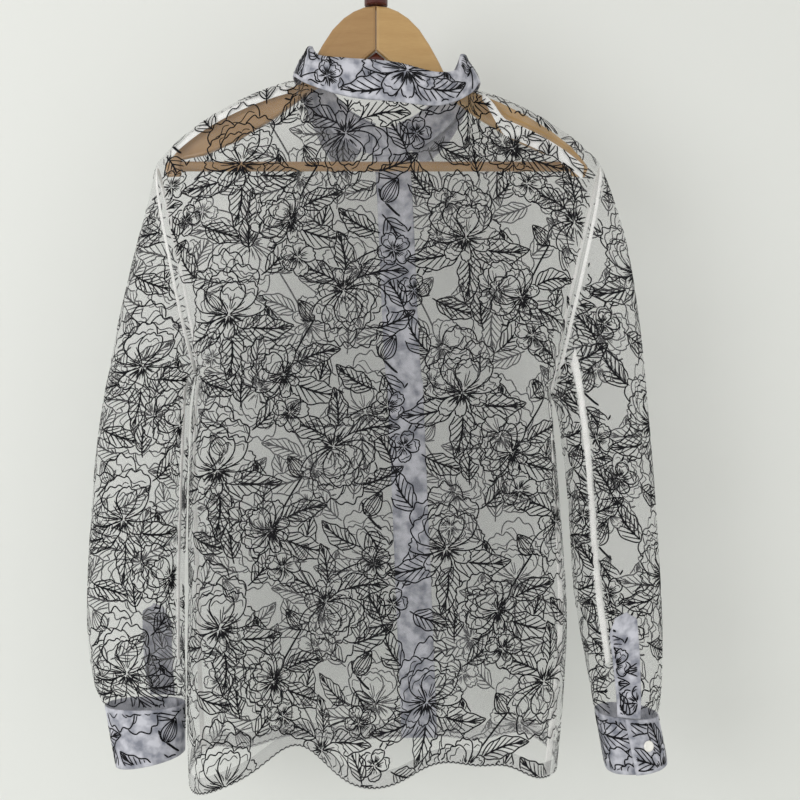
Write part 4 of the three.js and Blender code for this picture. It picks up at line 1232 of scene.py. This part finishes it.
# Settings and operators
STAGE_FLOOR = -1.35
STAGE_WALL = 0.17
STAGE_BEND = 0.1
STAGE_FRONT = -2.5
STAGE_TOP = 1.6
STAGE_HALF = 3.0
ROOM_COLOUR = (1.0, 0.985, 0.955, 1)
ROOM_STRENGTH = 0.75
FILL_SHARE = 0.35


class ShirtClothSettings(bpy.types.PropertyGroup):
    """Fineness and tone of the cloth"""

    net_tone: bpy.props.FloatProperty(
        name="Net tone", description="Screen value of the net's thread", default=172, min=0, max=250)
    net_haze: bpy.props.FloatProperty(
        name="Net haze", description="Share of a hole that fine fibres close", default=0.02, min=0, max=1)
    hem: bpy.props.FloatProperty(
        name="Hem", description="Height of the turned-up hem", unit="LENGTH", default=0.014, min=0.004)
    across: bpy.props.IntProperty(
        name="Columns", description="Mesh columns across the back", default=150, min=20, max=400)
    tall: bpy.props.IntProperty(
        name="Rows", description="Mesh rows from hem to shoulder", default=240, min=20, max=500)


class ShirtStageSettings(bpy.types.PropertyGroup):
    """Camera and light"""

    distance: bpy.props.FloatProperty(
        name="Camera distance", description="From the camera to the plane of the shirt", unit="LENGTH",
        default=1.1, min=0.2)
    camera_x: bpy.props.FloatProperty(
        name="Camera across", description="Camera's place across", unit="LENGTH", default=0.0238)
    camera_z: bpy.props.FloatProperty(
        name="Camera height", description="Camera's height below the hook", unit="LENGTH", default=-0.445)
    lens: bpy.props.FloatProperty(
        name="Lens", description="Focal length in millimetres on a 36 mm sensor", default=49.85, min=10)
    power: bpy.props.FloatProperty(
        name="Key power", description="Power of the large soft light in watts", default=18, min=0)


class SHIRT_OT_net_panels(bpy.types.Operator):
    """Builds the back, the two fronts and the sleeves as single layers of net"""

    bl_idname = "shirt.net_panels"
    bl_label = "Net panels"

    def execute(self, context):
        cloth = context.scene.shirt_cloth
        wide, tall = cloth.across, cloth.tall
        hanger = ["hanger_arm_left", "hanger_arm_right"]
        for node, surface, share in [
            ("back_panel", back_sheet, 1.0),
            ("front_right", front_right_sheet, 0.5),
            ("front_left", front_left_sheet, 0.6),
            ("sleeve_left", sleeve_sheet(LEFT_SLEEVE, LEFT_SEAM), 1.0),
            ("sleeve_right", sleeve_sheet(RIGHT_SLEEVE, RIGHT_SEAM), 1.0),
        ]:
            name = "net_" + node.removesuffix("_panel")
            obj, flat = sheet_object(name, surface, int(wide * share), tall, Upright)
            finish_sheet(obj, flat, "net", node, hanger)
        return {"FINISHED"}


def hem_stitch(flat, depth=1.1, scallop=5.5):
    """A scalloped run of thread along the lower edge of a sheet."""
    width, tall = flat.width[0], flat.height[-1]
    along = np.arange(4, width - 4, 0.9)
    wave = np.abs(np.sin(math.pi * along / scallop))
    return along / width, (depth + 1.4 * wave) / tall, 0.8 + 0.5 * wave


class SHIRT_OT_hems(bpy.types.Operator):
    """Turns up the hem as a narrow inner band of net and stitches its edge"""

    bl_idname = "shirt.hems"
    bl_label = "Hems"

    def execute(self, context):
        depth = context.scene.shirt_cloth.hem / MM
        for name in ("net_back", "net_front_right", "net_front_left"):
            flat = made["flats"][name]
            inner = moved_out(flat.surface, HEM_DISTANCE)
            span = (0.0012, depth / flat.height[-1])
            part = name.split("_", 1)[1]
            band, _ = sheet_object(f"hem_{part}", strip(inner, (0.002, 0.998), span), 140, 6)
            paint(band, materials()["net_double"])
            rider(name, band)
            stitch = ribbons(f"hem_stitch_{part}", [hem_stitch(flat)], flat.surface, STITCH_DISTANCE)
            paint(stitch, materials()["black_thread"])
            rider(name, stitch)
        return {"FINISHED"}


class SHIRT_OT_woven_trims(bpy.types.Operator):
    """Builds the plackets, cuffs and collar as walls of woven cloth"""

    bl_idname = "shirt.woven_trims"
    bl_label = "Woven trims"

    def execute(self, context):
        left_sleeve = sleeve_sheet(LEFT_SLEEVE, 0.0)
        right_sleeve = sleeve_sheet(RIGHT_SLEEVE, 0.0)
        for node, surface, wide, tall, thick in [
            ("placket_over", band_sheet(BAND_DISTANCE), 12, 160, 1.2),
            ("placket_under", band_sheet(-BAND_DISTANCE), 12, 160, 1.2),
            ("cuff_left", cuff_sheet(LEFT_CUFF, 0.72, -1), 110, 16, 1.8),
            ("cuff_right", cuff_sheet(RIGHT_CUFF, 0.216, 1), 110, 16, 1.8),
            ("collar_stand", stand_sheet, 130, 12, 1.5),
            ("collar_fall", fall_sheet, 150, 30, 1.5),
            ("sleeve_placket_left", placket_sheet(left_sleeve, 19.5), 8, 40, 1.2),
            ("sleeve_placket_right", placket_sheet(right_sleeve, 6.5), 8, 40, 1.2),
        ]:
            name = "trim_" + node.removeprefix("collar_")
            obj, flat = thick_object(name, surface, wide, tall, thick)
            finish_sheet(obj, flat, "trim_cloth", node, ["net_back"])
        return {"FINISHED"}


def placket_sheet(sleeve, centre):
    """A pointed sleeve placket around one of the sleeve's places."""
    outside = moved_out(sleeve, BAND_DISTANCE)

    def surface(s, t):
        s, t = both(s, t)
        half = 1.5 / SLEEVE_PLACES * (1 - 0.6 * rise(t, 0.88, 1))
        return outside(centre / SLEEVE_PLACES + mix(-1, 1, s) * half, mix(0.004, 0.2, t))

    return surface


class SHIRT_OT_tapes(bpy.types.Operator):
    """Builds the white tapes inside the seams"""

    bl_idname = "shirt.tapes"
    bl_label = "Seam tapes"

    def execute(self, context):
        inside_back = moved_out(back_sheet, TAPE_DISTANCE)
        jobs = []
        for node, start, end, rows, grid in [
            ("side_tape_left", 0.05, 0.5, (0.004, 0.48), (3, 120)),
            ("side_tape_right", 29.2, 29.95, (0.004, 0.48), (3, 120)),
            ("shoulder_tape_left", 1, 9, (0.935, 0.965), (60, 3)),
            ("shoulder_tape_right", 22, 29, (0.958, 0.994), (60, 3)),
        ]:
            span = (start / BACK_PLACES, end / BACK_PLACES)
            jobs.append((node, strip(inside_back, span, rows), grid))
        for side, sleeve, column in (("left", LEFT_SLEEVE, 12), ("right", RIGHT_SLEEVE, 4)):
            inner = moved_out(sleeve_sheet(sleeve, 0.0), TAPE_DISTANCE)
            span = ((column + 0.1) / SLEEVE_PLACES, (column + 0.9) / SLEEVE_PLACES)
            jobs.append((f"armhole_tape_{side}", strip(inner, (0, 1), (0.979, 0.993)), (120, 3)))
            jobs.append((f"sleeve_tape_{side}", strip(inner, span, (0.12, 0.94)), (3, 120)))
        for node, surface, grid in jobs:
            part, side = node.split("_tape_")
            obj, flat = thick_object(f"tape_{part}_{side}", surface, *grid, TAPE_THICKNESS)
            finish_sheet(obj, flat, "tape_cloth", node, ["net_back"])
        return {"FINISHED"}


class SHIRT_OT_embroidery(bpy.types.Operator):
    """Lays the embroidery's threads on every piece of cloth that carries it"""

    bl_idname = "shirt.embroidery"
    bl_label = "Embroidery"

    def execute(self, context):
        for sheet, phase in [
            ("net_back", 30 + 20j), ("net_front_right", -60 - 40j), ("net_front_left", 90 - 95j),
            ("net_sleeve_left", 10 - 30j), ("net_sleeve_right", -100 - 80j),
            ("trim_placket_over", 20 - 20j), ("trim_cuff_left", 60 - 80j), ("trim_cuff_right", -20 - 20j),
            ("trim_fall", -40 - 40j), ("trim_sleeve_placket_right", 0j), ("trim_sleeve_placket_left", 40j),
        ]:
            flat = made["flats"][sheet]
            name = "threads_" + sheet.split("_", 1)[1]
            obj = threads(name, flat, lines(), phase)
            paint(obj, materials()["black_thread"])
            rider(sheet, obj)
        declare_sheets()
        return {"FINISHED"}


class SHIRT_OT_hard_parts(bpy.types.Operator):
    """Gives the hanger, hook and buttons their finish, with painted shade on the hanger's left arm and the
    trouser bar
    """

    bl_idname = "shirt.hard_parts"
    bl_label = "Hanger and buttons"

    def execute(self, context):
        look = {
            # The left arm and the trouser bar take the darker copy of the wood: painted shade where less
            # light falls
            "hanger_arm_left": "pale_wood_shade",
            "hanger_arm_right": "pale_wood",
            "trouser_bar": "pale_wood_shade",
            "hook_sleeve": "red_lacquer",
            "hook_nut": "red_lacquer",
            "hook": "steel_wire",
        }
        for name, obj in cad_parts.items():
            if "button" in name:
                look[name] = "button_white"
        for name, mat in look.items():
            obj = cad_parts[name]
            paint(obj, materials()[mat])
            bpy.ops.object.select_all(action="DESELECT")
            bpy.context.view_layer.objects.active = obj
            obj.select_set(True)
            bpy.ops.object.shade_smooth_by_angle(angle=math.radians(35))
        return {"FINISHED"}


class SHIRT_OT_stage(bpy.types.Operator):
    """Sets up the pale stage, the soft lights and the camera"""

    bl_idname = "shirt.stage"
    bl_label = "Stage"

    def execute(self, context):
        stage = context.scene.shirt_stage
        start = STAGE_WALL - STAGE_BEND
        profile = [(STAGE_FRONT, STAGE_FLOOR), (start, STAGE_FLOOR)]
        for i in range(1, 9):
            a = math.pi / 2 * i / 8
            up = STAGE_FLOOR + STAGE_BEND - STAGE_BEND * math.cos(a)
            profile.append((start + STAGE_BEND * math.sin(a), up))
        profile.append((STAGE_WALL, STAGE_TOP))
        verts = [(x, y, z) for y, z in profile for x in (-STAGE_HALF, STAGE_HALF)]
        faces = [(2 * i, 2 * i + 1, 2 * i + 3, 2 * i + 2) for i in range(len(profile) - 1)]
        mesh = bpy.data.meshes.new("backdrop")
        mesh.from_pydata(verts, [], faces)
        mesh.polygons.foreach_set("use_smooth", np.ones(len(mesh.polygons), bool))
        backdrop = bpy.data.objects.new("backdrop", mesh)
        context.scene.collection.objects.link(backdrop)
        mat, n, bsdf = material("stage_paint")
        n.put(bsdf, {"Base Color": linear(226, 228, 225), "Roughness": 0.9})
        # Seen from behind, the wall lets the view through to the shirt
        behind = n.add("ShaderNodeNewGeometry").outputs["Backfacing"]
        n.put(bsdf, {"Alpha": n.math("SUBTRACT", 1.0, behind)})
        paint(backdrop, mat)
        world = bpy.data.worlds.new("studio")
        world.use_nodes = True
        background = world.node_tree.nodes["Background"]
        background.inputs["Color"].default_value = ROOM_COLOUR
        background.inputs["Strength"].default_value = ROOM_STRENGTH
        context.scene.world = world
        self.light("key", (-1.5, -1.7, -0.3), (0.0, 0.1, -0.42), 1.3, stage.power)
        self.light("fill", (1.8, -1.6, -0.5), (0.0, 0.1, -0.45), 1.8, stage.power * FILL_SHARE)
        camera = bpy.data.cameras.new("camera")
        camera.lens = stage.lens
        camera.sensor_width = 36
        camera.clip_start = 0.01
        obj = bpy.data.objects.new("camera", camera)
        obj.location = (stage.camera_x, -stage.distance, stage.camera_z)
        obj.rotation_euler = (math.pi / 2, 0, 0)
        context.scene.collection.objects.link(obj)
        context.scene.camera = obj
        context.scene.view_settings.view_transform = "Standard"
        return {"FINISHED"}

    def light(self, name, place, goal, size, power):
        data = bpy.data.lights.new(name, "AREA")
        data.shape = "DISK"
        data.size = size
        data.energy = power
        obj = bpy.data.objects.new(name, data)
        obj.location = place
        obj.rotation_euler = (Vector(goal) - Vector(place)).to_track_quat("-Z", "Y").to_euler()
        obj.visible_camera = False
        bpy.context.scene.collection.objects.link(obj)


class SHIRT_PT_panel(bpy.types.Panel):
    """Steps that build the shirt, in order"""

    bl_idname = "SHIRT_PT_panel"
    bl_label = "Shirt"
    bl_space_type = "VIEW_3D"
    bl_region_type = "UI"
    bl_category = "Shirt"

    def draw(self, context):
        layout = self.layout
        for group_name in ("shirt_cloth", "shirt_stage"):
            settings = getattr(context.scene, group_name)
            box = layout.box()
            for name in settings.__annotations__:
                box.prop(settings, name)
        for operator in OPERATORS:
            layout.operator(operator.bl_idname)


OPERATORS = (
    SHIRT_OT_net_panels,
    SHIRT_OT_hems,
    SHIRT_OT_woven_trims,
    SHIRT_OT_tapes,
    SHIRT_OT_embroidery,
    SHIRT_OT_hard_parts,
    SHIRT_OT_stage,
)
CLASSES = (ShirtClothSettings, ShirtStageSettings, *OPERATORS, SHIRT_PT_panel)


def register():
    for cls in CLASSES:
        bpy.utils.register_class(cls)
    bpy.types.Scene.shirt_cloth = bpy.props.PointerProperty(type=ShirtClothSettings)
    bpy.types.Scene.shirt_stage = bpy.props.PointerProperty(type=ShirtStageSettings)


def unregister():
    del bpy.types.Scene.shirt_cloth
    del bpy.types.Scene.shirt_stage
    for cls in reversed(CLASSES):
        bpy.utils.unregister_class(cls)


def main():
    register()
    bpy.ops.shirt.net_panels()
    bpy.ops.shirt.hems()
    bpy.ops.shirt.woven_trims()
    bpy.ops.shirt.tapes()
    bpy.ops.shirt.embroidery()
    bpy.ops.shirt.hard_parts()
    bpy.ops.shirt.stage()
    bpy.context.view_layer.update()


if __name__ == "__main__":
    main()
